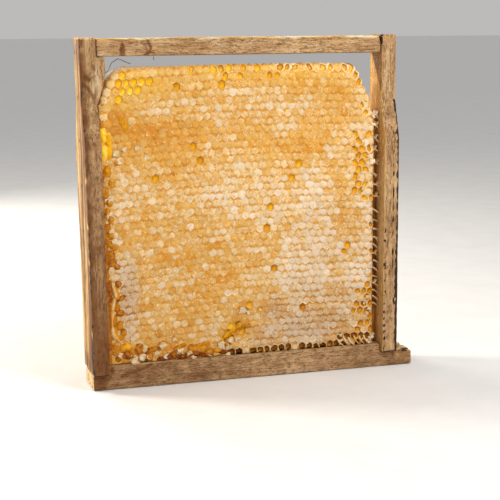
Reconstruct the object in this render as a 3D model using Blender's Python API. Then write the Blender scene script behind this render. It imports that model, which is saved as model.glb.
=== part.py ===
"""Honeycomb in its small wooden hive frame, standing on the bar that hangs in the hive.

Metres, +Z up. X runs along the frame to the right, Y from the front to the back.
The origin is on the underside, midway between the side bars' outer faces and between front and back.
"""

import math

import bmesh
import bpy
from mathutils import Matrix

# Driving dimensions of the frame
FRAME_WIDTH = 0.215  # over the outer faces of the two side bars
FRAME_HEIGHT = 0.2282  # underside to the tops of the side bars
BAR_THICKNESS = 0.0107
LUG_HEIGHT = 0.0103
BOTTOM_BAR_HEIGHT = 0.0162
BOTTOM_BAR_DEPTH = 0.0277
LUG_OVERHANG = 0.0126  # the right lug, past its side bar
RAIL_BOTTOM = 0.2162
RAIL_TOP = 0.2276
NARROW_DEPTH = 0.0209  # rail and upper part of the side bars
WIDE_DEPTH = 0.0361  # lower part of the side bars
SLOPE_TOP = 0.185
SLOPE_BOTTOM = 0.160
LEFT_BAR_LEAN = 0.0026  # the left bar's foot stands this much further in than its top
RAIL_END_GAP = 0.0013  # open wedge between the rail's right end and the side bar
EDGE_ROUNDING = 0.0006
GAP = 0.0003  # between pieces that touch

# The swelling on the inner side of the left bar, under the rail's end
SWELL_SIZE = 0.0057
SWELL_START = 0.186
SWELL_FULL = 0.210
SWELL_STEPS = 7

# The comb
COMB_HALF_DEPTH = 0.0113
COMB_TOP = 0.2102
COMB_FACE_RIGHT = 0.0924  # where its front and back faces end; a thin web goes on to the bar
COMB_WEB_HALF_DEPTH = 0.0024
COMB_WEB_TOP = 0.1746
LEFT_CORNER = (0.0215, 0.0235)  # width and height of the rounded upper corners
RIGHT_CORNER = (0.0185, 0.0300)
CORNER_INSET = 0.0015  # where the left corner starts to round, in from the edge below it
RIGHT_CORNER_START = 0.0880
TOP_WAVE = 0.0004
FACE_WAVE = 0.0007
COMB_COLUMNS = 27
COMB_ROWS = 28
CORNER_STEPS = 7
EDGE_CROWDING = 0.07  # draws the mesh columns together towards both edges
TOP_CROWN = (0.007, 0.62)  # radius of the rounding, and the share of the depth left at the edge
CORNER_CROWN = (0.006, 0.62)
FACE_CROWN = (0.005, 0.72)

# The cells
CELL_PITCH = 0.00502
ROW_PITCH_BOTTOM = 0.00445  # the rows stand a little further apart towards the top
ROW_PITCH_GROWTH = 0.000013
FIRST_ROW = 0.0180
CELL_WALL = 0.0006
CELL_CUT_DEPTH = 0.0050
CELL_MARGIN = 0.0036  # an open cell keeps this much comb round its centre
CELL_CUT_CLEARANCE = 0.004

# The stubs of the frame's wire
WIRE_RADIUS = 0.00025

# Where single cells lie open on the front, as (across, up), and the gouge below the middle
OPEN_CELLS = (
    (-0.0500, 0.1985), (-0.0200, 0.1980), (-0.0365, 0.1625), (-0.0345, 0.1500),
    (-0.0595, 0.1400), (0.0318, 0.1415), (0.0110, 0.1145), (0.0085, 0.1012),
    (0.0155, 0.0730), (0.0020, 0.0495), (0.0345, 0.0440), (0.0745, 0.1010),
)
OPEN_CORNER_REACH = 0.0175
RIGHT_BORDER = 0.0095  # every second cell nearer than this to the right edge of the face is open
FOOT_ROW_START = 0.0050  # the lowest row is open from here to the right
GOUGE_CENTRE = (-0.0085, 0.0305)
GOUGE_LENGTH = 0.016
GOUGE_WIDTH = 0.0042
GOUGE_ANGLE = 35

HALF_WIDTH = FRAME_WIDTH / 2
RIGHT_BAR_INNER = HALF_WIDTH - BAR_THICKNESS


def clear_scene():
    for obj in list(bpy.data.objects):
        bpy.data.objects.remove(obj, do_unlink=True)


def material(name, colour, roughness):
    made = bpy.data.materials.new(name)
    made.use_nodes = True
    shader = made.node_tree.nodes["Principled BSDF"]
    shader.inputs["Base Color"].default_value = (*colour, 1.0)
    shader.inputs["Roughness"].default_value = roughness
    shader.inputs["Metallic"].default_value = 0.0
    return made


def finish_mesh(name, bm, surface, smooth=False):
    """Makes an object of a bmesh, with its faces pointing out."""
    bmesh.ops.recalc_face_normals(bm, faces=bm.faces)
    mesh = bpy.data.meshes.new(name)
    bm.to_mesh(mesh)
    bm.free()
    obj = bpy.data.objects.new(name, mesh)
    bpy.context.scene.collection.objects.link(obj)
    if surface:
        mesh.materials.append(surface)
    if smooth:
        mesh.shade_smooth()
        mesh.set_sharp_from_angle(angle=math.radians(40))
    return obj


def prism_along_y(bm, outline, front, back):
    """Adds a prism to bm: an outline of (x, z) points drawn from y = front to y = back."""
    near = [bm.verts.new((x, front, z)) for x, z in outline]
    far = [bm.verts.new((x, back, z)) for x, z in outline]
    bm.faces.new(near)
    bm.faces.new(list(reversed(far)))
    count = len(outline)
    for i in range(count):
        j = (i + 1) % count
        bm.faces.new((near[j], near[i], far[i], far[j]))


def round_edges(obj, width):
    bevel = obj.modifiers.new("worn edges", "BEVEL")
    bevel.width = width
    bevel.segments = 2
    bevel.limit_method = "ANGLE"
    bevel.angle_limit = math.radians(35)


def left_outer(z):
    """The outer face of the left bar at height z, which leans in towards its foot."""
    share = (z - LUG_HEIGHT) / (FRAME_HEIGHT - LUG_HEIGHT)
    return -HALF_WIDTH + LEFT_BAR_LEAN * (1 - share)


def left_inner(z):
    return left_outer(z) + BAR_THICKNESS


def swelling(z):
    """How far the left bar swells in at height z."""
    share = (z - SWELL_START) / (SWELL_FULL - SWELL_START)
    share = min(1.0, max(0.0, share))
    return SWELL_SIZE * math.sin(share * math.pi / 2)


# ---------------------------------------------------------------- frame


def make_bottom_bar(surface):
    """The thick bar underneath, cut down to a lug at each end, where the side bars stand."""
    left_end = left_outer(LUG_HEIGHT)
    left_shoulder = left_inner(LUG_HEIGHT) + GAP
    right_shoulder = RIGHT_BAR_INNER - GAP
    right_end = HALF_WIDTH + LUG_OVERHANG
    outline = [
        (left_end, 0.0),
        (right_end, 0.0),
        (right_end, LUG_HEIGHT),
        (right_shoulder, LUG_HEIGHT),
        (right_shoulder, BOTTOM_BAR_HEIGHT),
        (left_shoulder, BOTTOM_BAR_HEIGHT),
        (left_shoulder, LUG_HEIGHT),
        (left_end, LUG_HEIGHT),
    ]
    bm = bmesh.new()
    prism_along_y(bm, outline, -BOTTOM_BAR_DEPTH / 2, BOTTOM_BAR_DEPTH / 2)
    obj = finish_mesh("bottom_bar", bm, surface)
    round_edges(obj, EDGE_ROUNDING)


def make_top_rail(surface):
    """The thin rail let in between the tops of the side bars, its right end cut a little askew."""
    left = left_inner(RAIL_BOTTOM) + GAP
    right = RIGHT_BAR_INNER - GAP
    outline = [
        (left, RAIL_BOTTOM),
        (right, RAIL_BOTTOM),
        (right, (RAIL_BOTTOM + RAIL_TOP) / 2),
        (right - RAIL_END_GAP, RAIL_TOP),
        (left, RAIL_TOP),
    ]
    bm = bmesh.new()
    prism_along_y(bm, outline, -NARROW_DEPTH / 2, NARROW_DEPTH / 2)
    obj = finish_mesh("top_rail", bm, surface)
    round_edges(obj, EDGE_ROUNDING)


def side_profile():
    """The side bars seen from the side, as (y, z): narrow above, wide below, with a slope between."""
    narrow = NARROW_DEPTH / 2
    wide = WIDE_DEPTH / 2
    foot = LUG_HEIGHT + GAP
    right = [(wide, foot), (wide, SLOPE_BOTTOM), (narrow, SLOPE_TOP), (narrow, FRAME_HEIGHT)]
    left = [(-y, z) for y, z in reversed(right)]
    return right + left


def make_side_bar(name, outline, surface):
    """A side bar: its outline from the front, cut to the side profile.

    The profile is drawn like any outline and then turned a quarter about Z, so that it runs along X.
    """
    bm = bmesh.new()
    prism_along_y(bm, outline, -WIDE_DEPTH, WIDE_DEPTH)
    obj = finish_mesh(name, bm, surface)

    bm = bmesh.new()
    prism_along_y(bm, side_profile(), -HALF_WIDTH * 1.2, HALF_WIDTH * 1.2)
    quarter_turn = Matrix.Rotation(math.radians(90), 3, "Z")
    bmesh.ops.rotate(bm, verts=bm.verts, matrix=quarter_turn)
    cutter = finish_mesh(name + "_profile", bm, None)
    hide_cutter(cutter)
    cut = obj.modifiers.new("side profile", "BOOLEAN")
    cut.operation = "INTERSECT"
    cut.solver = "EXACT"
    cut.object = cutter
    round_edges(obj, EDGE_ROUNDING)


def hide_cutter(obj):
    obj.hide_render = True
    obj.display_type = "WIRE"


def make_left_bar(surface):
    foot = LUG_HEIGHT + GAP
    ledge = RAIL_BOTTOM - GAP
    outline = [(left_outer(foot), foot), (left_inner(foot), foot)]
    for step in range(SWELL_STEPS + 1):
        z = SWELL_START + (SWELL_FULL - SWELL_START) * step / SWELL_STEPS
        outline.append((left_inner(z) + swelling(z), z))
    outline.append((left_inner(ledge) + SWELL_SIZE, ledge))
    outline.append((left_inner(ledge), ledge))
    outline.append((left_inner(FRAME_HEIGHT), FRAME_HEIGHT))
    outline.append((left_outer(FRAME_HEIGHT), FRAME_HEIGHT))
    make_side_bar("side_bar_left", outline, surface)


def make_right_bar(surface):
    foot = LUG_HEIGHT + GAP
    outline = [
        (RIGHT_BAR_INNER, foot),
        (HALF_WIDTH, foot),
        (HALF_WIDTH, FRAME_HEIGHT),
        (RIGHT_BAR_INNER, FRAME_HEIGHT),
    ]
    make_side_bar("side_bar_right", outline, surface)


# ---------------------------------------------------------------- comb


def comb_left(z):
    """The comb's left edge: against the bar, then round the upper corner."""
    against_bar = left_inner(z) + swelling(z) + GAP
    width, height = LEFT_CORNER
    drop = (z - (COMB_TOP - height)) / height
    if drop <= 0:
        return against_bar
    start = left_inner(COMB_TOP - height) + CORNER_INSET
    corner = start + width * (1 - math.sqrt(max(0.0, 1 - min(1.0, drop) ** 2)))
    return max(against_bar, corner)


def comb_right(z):
    """The comb's right edge: the web against the bar, then round the upper corner."""
    width, height = RIGHT_CORNER
    if z <= COMB_WEB_TOP:
        return RIGHT_BAR_INNER - GAP
    drop = min(1.0, max(0.0, (z - (COMB_TOP - height)) / height))
    return RIGHT_CORNER_START - width * (1 - math.sqrt(1 - drop**2))


def comb_depth(x, z, side):
    """How far the comb's face stands out at (x, z). side is -1 for the front and 1 for the back."""
    wave = math.sin(47 * x + 31 * z + side) + math.sin(83 * z - 29 * x + 2 * side)
    full = COMB_HALF_DEPTH + FACE_WAVE * wave / 2
    from_top = max(0.0, COMB_TOP - z)
    from_left = max(0.0, x - comb_left(z))
    crown = rounded(from_top, *TOP_CROWN)
    if z > SWELL_START:
        crown = min(crown, rounded(from_left, *CORNER_CROWN))
    past_face = x - COMB_FACE_RIGHT
    if past_face > 0:
        share = min(1.0, past_face / (RIGHT_BAR_INNER - GAP - COMB_FACE_RIGHT))
        web = COMB_WEB_HALF_DEPTH / full
        crown = min(crown, web + (FACE_CROWN[1] - web) * (1 - share) ** 2)
    else:
        crown = min(crown, rounded(-past_face, *FACE_CROWN))
    return full * crown


def rounded(distance, radius, least):
    """A share of the full depth: least at the edge, and 1 from radius inwards."""
    share = min(1.0, distance / radius)
    return least + (1 - least) * math.sqrt(1 - (1 - share) ** 2)


def row_heights():
    """Heights of the comb's mesh rows: even at first, then closer round the upper corners."""
    bottom = BOTTOM_BAR_HEIGHT + GAP
    corner = COMB_TOP - max(LEFT_CORNER[1], RIGHT_CORNER[1])
    straight = COMB_ROWS - CORNER_STEPS
    heights = [bottom + (corner - bottom) * i / straight for i in range(straight)]
    for i in range(CORNER_STEPS + 1):
        turn = math.pi / 2 * i / CORNER_STEPS
        heights.append(corner + (COMB_TOP - corner) * math.sin(turn))
    heights.append(COMB_WEB_TOP)
    return sorted(heights)


def column_shares():
    """Shares of the comb's width for the mesh columns, closer together at both edges."""
    shares = []
    for i in range(COMB_COLUMNS + 1):
        even = i / COMB_COLUMNS
        shares.append(even - EDGE_CROWDING * math.sin(2 * math.pi * even))
    return shares


def comb_face(bm, side):
    """Adds one face of the comb as a grid, and gives its rows of points."""
    rows = []
    for z in row_heights():
        left = comb_left(z)
        right = comb_right(z)
        row = []
        for share in column_shares():
            x = left + (right - left) * share
            near_top = max(0.0, 1 - (COMB_TOP - z) / 0.02)
            lift = TOP_WAVE * near_top * math.sin(170 * x + 1)
            row.append(bm.verts.new((x, side * comb_depth(x, z, side), z + lift)))
        rows.append(row)
    for lower, upper in zip(rows, rows[1:]):
        for i in range(COMB_COLUMNS):
            bm.faces.new((lower[i], lower[i + 1], upper[i + 1], upper[i]))
    return rows


def close_between(bm, front, back):
    for i in range(len(front) - 1):
        bm.faces.new((front[i], front[i + 1], back[i + 1], back[i]))


def make_comb(surface):
    bm = bmesh.new()
    front = comb_face(bm, -1)
    back = comb_face(bm, 1)
    close_between(bm, front[0], back[0])
    close_between(bm, front[-1], back[-1])
    close_between(bm, [row[0] for row in front], [row[0] for row in back])
    close_between(bm, [row[-1] for row in front], [row[-1] for row in back])
    comb = finish_mesh("comb", bm, surface, smooth=True)

    cells = comb.modifiers.new("open cells", "BOOLEAN")
    cells.operation = "DIFFERENCE"
    cells.solver = "EXACT"
    cells.object = make_cell_cutter()
    return comb


# ---------------------------------------------------------------- open cells


def row_height(row):
    return FIRST_ROW + ROW_PITCH_BOTTOM * row + ROW_PITCH_GROWTH / 2 * row * row


def cell_centres():
    """Every cell centre on the front, as (x, z)."""
    centres = []
    row = 0
    while row_height(row) < COMB_TOP:
        z = row_height(row)
        shift = CELL_PITCH / 2 * (row % 2)
        for column in range(-20, 21):
            centres.append((column * CELL_PITCH + shift, z))
        row += 1
    return centres


def inside_comb(x, z, margin):
    """Whether a cell at (x, z) has room in the comb's face."""
    if z > COMB_TOP - margin or z < BOTTOM_BAR_HEIGHT + margin:
        return False
    high = min(z + margin, COMB_TOP)
    right = min(comb_right(high), COMB_FACE_RIGHT)
    return comb_left(high) + margin < x < right - margin


def open_cell_centres():
    """The cells that lie open: single ones, both upper corners, the right border and the lowest row."""
    centres = [c for c in cell_centres() if inside_comb(*c, CELL_MARGIN)]
    lowest = min(z for x, z in centres)
    chosen = set()
    for i, (x, z) in enumerate(centres):
        on_border = COMB_FACE_RIGHT - x < RIGHT_BORDER and i % 2 == 0
        if on_border or (z == lowest and x > FOOT_ROW_START):
            chosen.add((x, z))
    for wanted in OPEN_CELLS:
        chosen.add(min(centres, key=lambda c: math.dist(c, wanted)))
    corners = (
        (comb_left(COMB_TOP - 0.012), COMB_TOP - 0.006),
        (comb_right(COMB_TOP - 0.012), COMB_TOP - 0.008),
    )
    for corner in corners:
        chosen.update(c for c in centres if math.dist(c, corner) < OPEN_CORNER_REACH)
    return sorted(chosen)


def make_cell_cutter():
    """Six-sided pockets for the open cells of both faces, and the gouge, in one hidden cutter."""
    outside = -COMB_HALF_DEPTH - CELL_CUT_CLEARANCE
    inside = -COMB_HALF_DEPTH + CELL_CUT_DEPTH
    reach = (CELL_PITCH - CELL_WALL) / math.sqrt(3)
    bm = bmesh.new()
    for x, z in open_cell_centres():
        hexagon = []
        for corner in range(6):
            turn = math.radians(30 + 60 * corner)
            hexagon.append((x + reach * math.cos(turn), z + reach * math.sin(turn)))
        prism_along_y(bm, hexagon, outside, inside)
        if z > COMB_TOP - RIGHT_CORNER[1]:
            prism_along_y(bm, hexagon, -inside, -outside)
    prism_along_y(bm, gouge_outline(), outside, inside)
    cutter = finish_mesh("cell_cutter", bm, None)
    hide_cutter(cutter)
    return cutter


def gouge_outline():
    """A long six-sided scrape that runs up to the right."""
    angle = math.radians(GOUGE_ANGLE)
    outline = []
    half = GOUGE_LENGTH / 2
    side = GOUGE_WIDTH / 2
    shape = [(-half, 0), (-half + side, -side), (half - side, -side)]
    shape += [(half, 0), (half - side, side), (-half + side, side)]
    for along, across in shape:
        x = GOUGE_CENTRE[0] + along * math.cos(angle) - across * math.sin(angle)
        z = GOUGE_CENTRE[1] + along * math.sin(angle) + across * math.cos(angle)
        outline.append((x, z))
    return outline


# ---------------------------------------------------------------- wire


def make_wire(name, points, surface):
    """A stub of thin wire through the given points."""
    curve = bpy.data.curves.new(name, "CURVE")
    curve.dimensions = "3D"
    curve.bevel_depth = WIRE_RADIUS
    curve.bevel_resolution = 1
    curve.use_fill_caps = True
    spline = curve.splines.new("POLY")
    spline.points.add(len(points) - 1)
    for point, place in zip(spline.points, points):
        point.co = (*place, 1.0)
    curve.materials.append(surface)
    obj = bpy.data.objects.new(name, curve)
    bpy.context.scene.collection.objects.link(obj)


def make_wires(surface):
    clear = GAP + WIRE_RADIUS
    bar_face = left_inner(0.2049) + swelling(0.2049) + clear
    comb_top = COMB_TOP + clear + TOP_WAVE
    rise = [
        (bar_face, -0.0005, 0.2049),
        (bar_face + 0.0030, -0.0004, 0.2068),
        (-0.0848, 0.0002, 0.2122),
        (-0.0806, 0.0000, 0.2145),
        (-0.0788, 0.0006, 0.2138),
        (-0.0772, -0.0002, 0.2130),
        (-0.0748, 0.0000, 0.2119),
        (-0.0726, 0.0000, comb_top),
    ]
    make_wire("wire_left", rise, surface)
    rail_face = RAIL_BOTTOM - clear
    stub = [
        (-0.0573, 0.0, rail_face),
        (-0.0574, 0.0002, 0.2148),
        (-0.0572, -0.0001, 0.2132),
    ]
    make_wire("wire_under_rail", stub, surface)


def main():
    clear_scene()
    wood = material("frame_wood", (0.50, 0.32, 0.16), 0.75)
    wax = material("comb_wax", (0.80, 0.50, 0.16), 0.45)
    steel = material("frame_wire", (0.35, 0.34, 0.32), 0.40)
    make_bottom_bar(wood)
    make_top_rail(wood)
    make_left_bar(wood)
    make_right_bar(wood)
    make_comb(wax)
    make_wires(steel)


main()
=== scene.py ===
"""Looks of the honeycomb in its hive frame: single wax cells, honey, torn wax, weathered wood and wire.

Metres, +Z up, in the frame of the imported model. X to the right, Y from the front to the back.
"""

import itertools
import math
import random

import bpy
import numpy as np
from mathutils import Matrix, Vector, noise


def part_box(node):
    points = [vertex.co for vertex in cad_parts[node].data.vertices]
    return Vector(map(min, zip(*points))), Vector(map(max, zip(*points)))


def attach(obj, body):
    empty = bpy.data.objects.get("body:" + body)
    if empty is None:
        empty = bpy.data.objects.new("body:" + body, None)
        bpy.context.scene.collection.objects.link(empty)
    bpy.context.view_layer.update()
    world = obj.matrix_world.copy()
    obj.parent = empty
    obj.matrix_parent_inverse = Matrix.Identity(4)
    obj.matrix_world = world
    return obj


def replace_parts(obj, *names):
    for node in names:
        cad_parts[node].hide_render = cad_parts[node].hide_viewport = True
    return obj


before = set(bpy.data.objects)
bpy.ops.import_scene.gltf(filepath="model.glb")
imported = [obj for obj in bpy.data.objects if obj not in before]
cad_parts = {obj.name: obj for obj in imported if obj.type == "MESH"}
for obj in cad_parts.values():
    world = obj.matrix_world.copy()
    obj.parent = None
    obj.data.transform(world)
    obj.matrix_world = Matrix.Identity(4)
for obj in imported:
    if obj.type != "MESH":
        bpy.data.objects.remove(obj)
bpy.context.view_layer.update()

# ---------------------------------------------------------------- sizes, from the frame's boxes

COMB_LOW, COMB_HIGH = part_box("comb")
LEFT_LOW, LEFT_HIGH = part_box("side_bar_left")
RIGHT_LOW, RIGHT_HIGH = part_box("side_bar_right")
RAIL_LOW, RAIL_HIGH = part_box("top_rail")
BASE_LOW, BASE_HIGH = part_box("bottom_bar")

GAP = 0.0003
HALF_WIDTH = RIGHT_HIGH.x
BAR_THICKNESS = RIGHT_HIGH.x - RIGHT_LOW.x
RIGHT_BAR_INNER = RIGHT_LOW.x
FRAME_HEIGHT = RIGHT_HIGH.z
FOOT = RIGHT_LOW.z
LEFT_BAR_LEAN = 0.0026
SWELL_SIZE = 0.0057
SWELL_START = 0.186
SWELL_FULL = 0.210
NARROW_DEPTH = RAIL_HIGH.y
WIDE_DEPTH = RIGHT_HIGH.y

COMB_TOP = 0.2102
COMB_BOTTOM = COMB_LOW.z
COMB_HALF_DEPTH = 0.0113
COMB_FACE_RIGHT = 0.0924
WEB_HALF_DEPTH = 0.0024
LEFT_CORNER = (0.0215, 0.0235)
RIGHT_CORNER = (0.0185, 0.0300)
CORNER_INSET = 0.0015
RIGHT_CORNER_START = 0.0880
FACE_WAVE = 0.0007
BACK_TUCK = Vector((0.0016, 0, 0.0024))  # how far the back's upper edge stays inside the front's

CELL_PITCH = 0.00502
ROW_PITCH_BOTTOM = 0.00445
ROW_PITCH_GROWTH = 0.000013
FIRST_ROW = 0.0180
LOWEST_ROW = 0.0200  # cells centred below this are the lowest row's
SNAP = 0.0042  # outline points this near to a bar are taken out to it
CREST_START = 0.176  # above this the comb's edge closes towards a crest
UPRIGHT_TOP = 0.187  # the comb's upright edges end here, and its rounded corners begin
CORNERS = 12  # points round a cell: its corners and the middles of its edges


def unit(value):
    """The value, kept between 0 and 1."""
    return min(1.0, max(0.0, value))


def fade(distance, reach):
    """Falls evenly from 1 at no distance to 0 at reach. Below no distance it is more than 1."""
    return max(0.0, 1 - distance / reach)


def left_inner(z):
    """Inner face of the left bar, which leans in towards its foot."""
    share = (z - FOOT) / (FRAME_HEIGHT - FOOT)
    return -HALF_WIDTH + LEFT_BAR_LEAN * (1 - share) + BAR_THICKNESS


def swelling(z):
    """How far the left bar swells out towards the comb at height z."""
    share = unit((z - SWELL_START) / (SWELL_FULL - SWELL_START))
    return SWELL_SIZE * math.sin(share * math.pi / 2)


def comb_left(z):
    against_bar = left_inner(z) + swelling(z) + GAP
    width, height = LEFT_CORNER
    drop = (z - (COMB_TOP - height)) / height
    if drop <= 0:
        return against_bar
    start = left_inner(COMB_TOP - height) + CORNER_INSET
    corner = start + width * (1 - math.sqrt(max(0.0, 1 - min(1.0, drop) ** 2)))
    return max(against_bar, corner)


def comb_right(z):
    """Right edge of the comb's face; the web goes on from it to the bar."""
    width, height = RIGHT_CORNER
    drop = unit((z - (COMB_TOP - height)) / height)
    lean = unit((z - 0.1715) / 0.0100)
    start = COMB_FACE_RIGHT + (RIGHT_CORNER_START - COMB_FACE_RIGHT) * lean * lean * (3 - 2 * lean)
    start += 0.0006 * wander(z * 190, 0, 0, 98) * (1 - lean)
    return start - width * (1 - math.sqrt(1 - drop**2))


def rounded(distance, radius, least):
    """A round shoulder: least at an edge, rising to 1 at radius away from it."""
    share = min(1.0, max(0.0, distance) / radius)
    return least + (1 - least) * math.sqrt(1 - (1 - share) ** 2)


def comb_depth(x, z, side):
    """How far the comb's face stands out at (x, z). side is -1 for the front and 1 for the back."""
    wave = math.sin(47 * x + 31 * z + side) + math.sin(83 * z - 29 * x + 2 * side)
    full = COMB_HALF_DEPTH + FACE_WAVE * wave / 2
    crown = rounded(COMB_TOP - z, 0.007, 0.62)
    if z > SWELL_START:
        crown = min(crown, rounded(x - comb_left(z), 0.006, 0.62))
    past_face = x - COMB_FACE_RIGHT
    if past_face > 0:
        share = min(1.0, past_face / (RIGHT_BAR_INNER - GAP - COMB_FACE_RIGHT))
        web = WEB_HALF_DEPTH / full
        crown = min(crown, web + (0.72 - web) * (1 - share) ** 2)
    else:
        crown = min(crown, rounded(-past_face, 0.005, 0.72))
    return full * crown


def wander(x, y, z=0.0, seed=0.0):
    """Smooth noise from about -1 to 1."""
    return noise.noise(Vector((x, y, z + 17.3 * seed)))


# ---------------------------------------------------------------- meshes and materials


def new_mesh(name, points, faces, materials, slots=None, smooth=True):
    mesh = bpy.data.meshes.new(name)
    mesh.from_pydata([tuple(p) for p in points], [], faces)
    for m in materials:
        mesh.materials.append(m)
    if slots is not None:
        mesh.polygons.foreach_set("material_index", slots)
    if smooth:
        mesh.shade_smooth()
    mesh.update()
    obj = bpy.data.objects.new(name, mesh)
    bpy.context.scene.collection.objects.link(obj)
    return obj


def point_values(mesh, name, values):
    attribute = mesh.attributes.new(name, "FLOAT", "POINT")
    attribute.data.foreach_set("value", np.asarray(values, np.float32))


class Nodes:
    """A short way to write a material's node tree."""

    def __init__(self, name):
        self.material = bpy.data.materials.new(name)
        self.material.use_nodes = True
        self.tree = self.material.node_tree
        self.shader = self.tree.nodes["Principled BSDF"]

    def put(self, node, values):
        """Gives a node's inputs numbers, colours or the outputs of other nodes."""
        for name, value in values.items():
            if isinstance(value, bpy.types.NodeSocket):
                self.tree.links.new(value, node.inputs[name])
            else:
                node.inputs[name].default_value = value

    def add(self, kind, values, output=0, **settings):
        """Adds a node and returns one of its outputs."""
        node = self.tree.nodes.new(kind)
        for name, setting in settings.items():
            setattr(node, name, setting)
        self.put(node, values)
        return node.outputs[output]

    def attribute(self, name):
        return self.add("ShaderNodeAttribute", {}, "Fac", attribute_name=name)

    def place(self, scale=(1, 1, 1)):
        where = self.add("ShaderNodeTexCoord", {}, "Object")
        return self.add("ShaderNodeMapping", {"Vector": where, "Scale": scale})

    def noise(self, vector, scale, detail=3.0, rough=0.55, distortion=0.0):
        values = {"Vector": vector, "Scale": scale, "Detail": detail, "Roughness": rough}
        return self.add("ShaderNodeTexNoise", {**values, "Distortion": distortion}, "Fac")

    def ramp(self, factor, stops):
        """Colours along a factor. A stop is (position, colour)."""
        output = self.add("ShaderNodeValToRGB", {"Fac": factor}, "Color")
        elements = output.node.color_ramp.elements
        while len(elements) < len(stops):
            elements.new(0.5)
        for element, (position, colour) in zip(elements, stops):
            element.position = position
            element.color = (*colour, 1.0)
        return output

    def band(self, factor, low, high, start=0.0, end=1.0):
        """A smooth step from start, below low, to end, above high."""
        values = {"Value": factor, "From Min": low, "From Max": high, "To Min": start, "To Max": end}
        return self.add("ShaderNodeMapRange", values, "Result", interpolation_type="SMOOTHSTEP")

    def maths(self, operation, *values):
        return self.add("ShaderNodeMath", dict(enumerate(values)), operation=operation)

    def times(self, a, b):
        return self.maths("MULTIPLY", a, b)

    def total(self, *terms):
        """The sum of (value, factor) terms."""
        found = self.times(*terms[0])
        for term in terms[1:]:
            found = self.maths("ADD", found, self.times(*term))
        return found

    def ragged(self, value, *patterns):
        """A painted value with (pattern, factor) noises added, each about its middle of 0.5."""
        for pattern, factor in patterns:
            swing = self.times(self.maths("SUBTRACT", pattern, 0.5), factor)
            value = self.maths("ADD", value, swing)
        return value

    def mix(self, factor, a, b, blend="MIX"):
        a, b = (v if isinstance(v, bpy.types.NodeSocket) else (*v, 1.0) for v in (a, b))
        values = {"Factor": factor, "A": a, "B": b}
        return self.add("ShaderNodeMix", values, "Result", data_type="RGBA", blend_type=blend)

    def bump(self, height, distance, strength=1.0):
        values = {"Height": height, "Distance": distance, "Strength": strength}
        self.put(self.shader, {"Normal": self.add("ShaderNodeBump", values, "Normal")})


def linear(red, green, blue):
    """A colour given as it looks on a screen, 0 to 255."""
    found = []
    for value in (red, green, blue):
        value /= 255
        found.append(value / 12.92 if value <= 0.04045 else ((value + 0.055) / 1.055) ** 2.4)
    return tuple(found)


def shades(*stops):
    """Stops of a ramp from (position, red, green, blue), the colours as they look on a screen."""
    return [(position, linear(*colour)) for position, *colour in stops]


# ---------------------------------------------------------------- wood


def wood_material(name, along):
    """Sawn beech along one axis, with flecks, dirt, propolis stains, bright scraped places and painted light
    and shade.

    The pieces carry four painted values: stain_and_shade (stains and painted shade), dark (dark marks and a
    painted shadow), bright (scraped places and painted light) and gold (painted warm light).
    """
    n = Nodes(name)
    long_way = {"X": (0.10, 1, 1), "Z": (1, 1, 0.10)}[along]
    fleck_way = {"X": (0.22, 1, 1), "Z": (1, 1, 0.22)}[along]
    grain = n.noise(n.place(long_way), 420, 5, 0.62, 0.6)
    fleck = n.noise(n.place(fleck_way), 1300, 3, 0.6)
    speck = n.noise(n.place(), 1700, 2, 0.6)
    cloud = n.noise(n.place(), 45, 4, 0.6)
    blotch = n.noise(n.place(), 130, 4, 0.65)

    tone = n.total((grain, 0.40), (cloud, 0.30), (speck, 0.30))
    stops = shades((0.34, 124, 88, 54), (0.46, 176, 134, 90), (0.54, 204, 161, 113), (0.66, 234, 195, 147))
    colour = n.ramp(tone, stops)
    flecks = n.band(fleck, 0.54, 0.64)
    colour = n.mix(n.times(flecks, 0.58), colour, linear(104, 68, 38))
    chips = n.band(n.noise(n.place(fleck_way), 900, 3, 0.6, 0.4), 0.57, 0.66)
    colour = n.mix(n.times(chips, 0.45), colour, linear(226, 196, 154))
    dirt = n.band(blotch, 0.50, 0.70)
    colour = n.mix(n.times(dirt, 0.35), colour, linear(134, 98, 62))
    stops = shades((0.36, 196, 132, 58), (0.47, 233, 182, 104), (0.56, 250, 226, 176), (0.66, 255, 245, 222))
    # bright is scraped wood and painted light on lit faces; gold is painted warm light
    colour = n.mix(n.attribute("bright"), colour, n.ramp(grain, stops))
    colour = n.mix(n.attribute("gold"), colour, linear(226, 174, 92))
    # stain_and_shade carries propolis stains and painted shade
    stain_and_shade_share = n.band(n.ragged(n.attribute("stain_and_shade"), (blotch, 0.6)), 0.10, 0.95, 0, 0.88)
    colour = n.mix(stain_and_shade_share, colour, linear(116, 66, 20))
    # dark carries dark marks, holes and a painted shadow at the right bar's foot
    dark_marks_and_shadow = n.band(n.ragged(n.attribute("dark"), (fleck, 0.8)), 0.30, 0.65, 0, 0.95)
    colour = n.mix(dark_marks_and_shadow, colour, linear(36, 20, 10))
    roughness = n.band(grain, 0.3, 0.7, 0.86, 0.62)
    n.put(n.shader, {"Base Color": colour, "Roughness": roughness, "Specular IOR Level": 0.3})
    n.bump(n.maths("ADD", n.maths("ADD", grain, speck), n.times(flecks, -0.6)), 0.0008)
    return n.material


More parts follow.
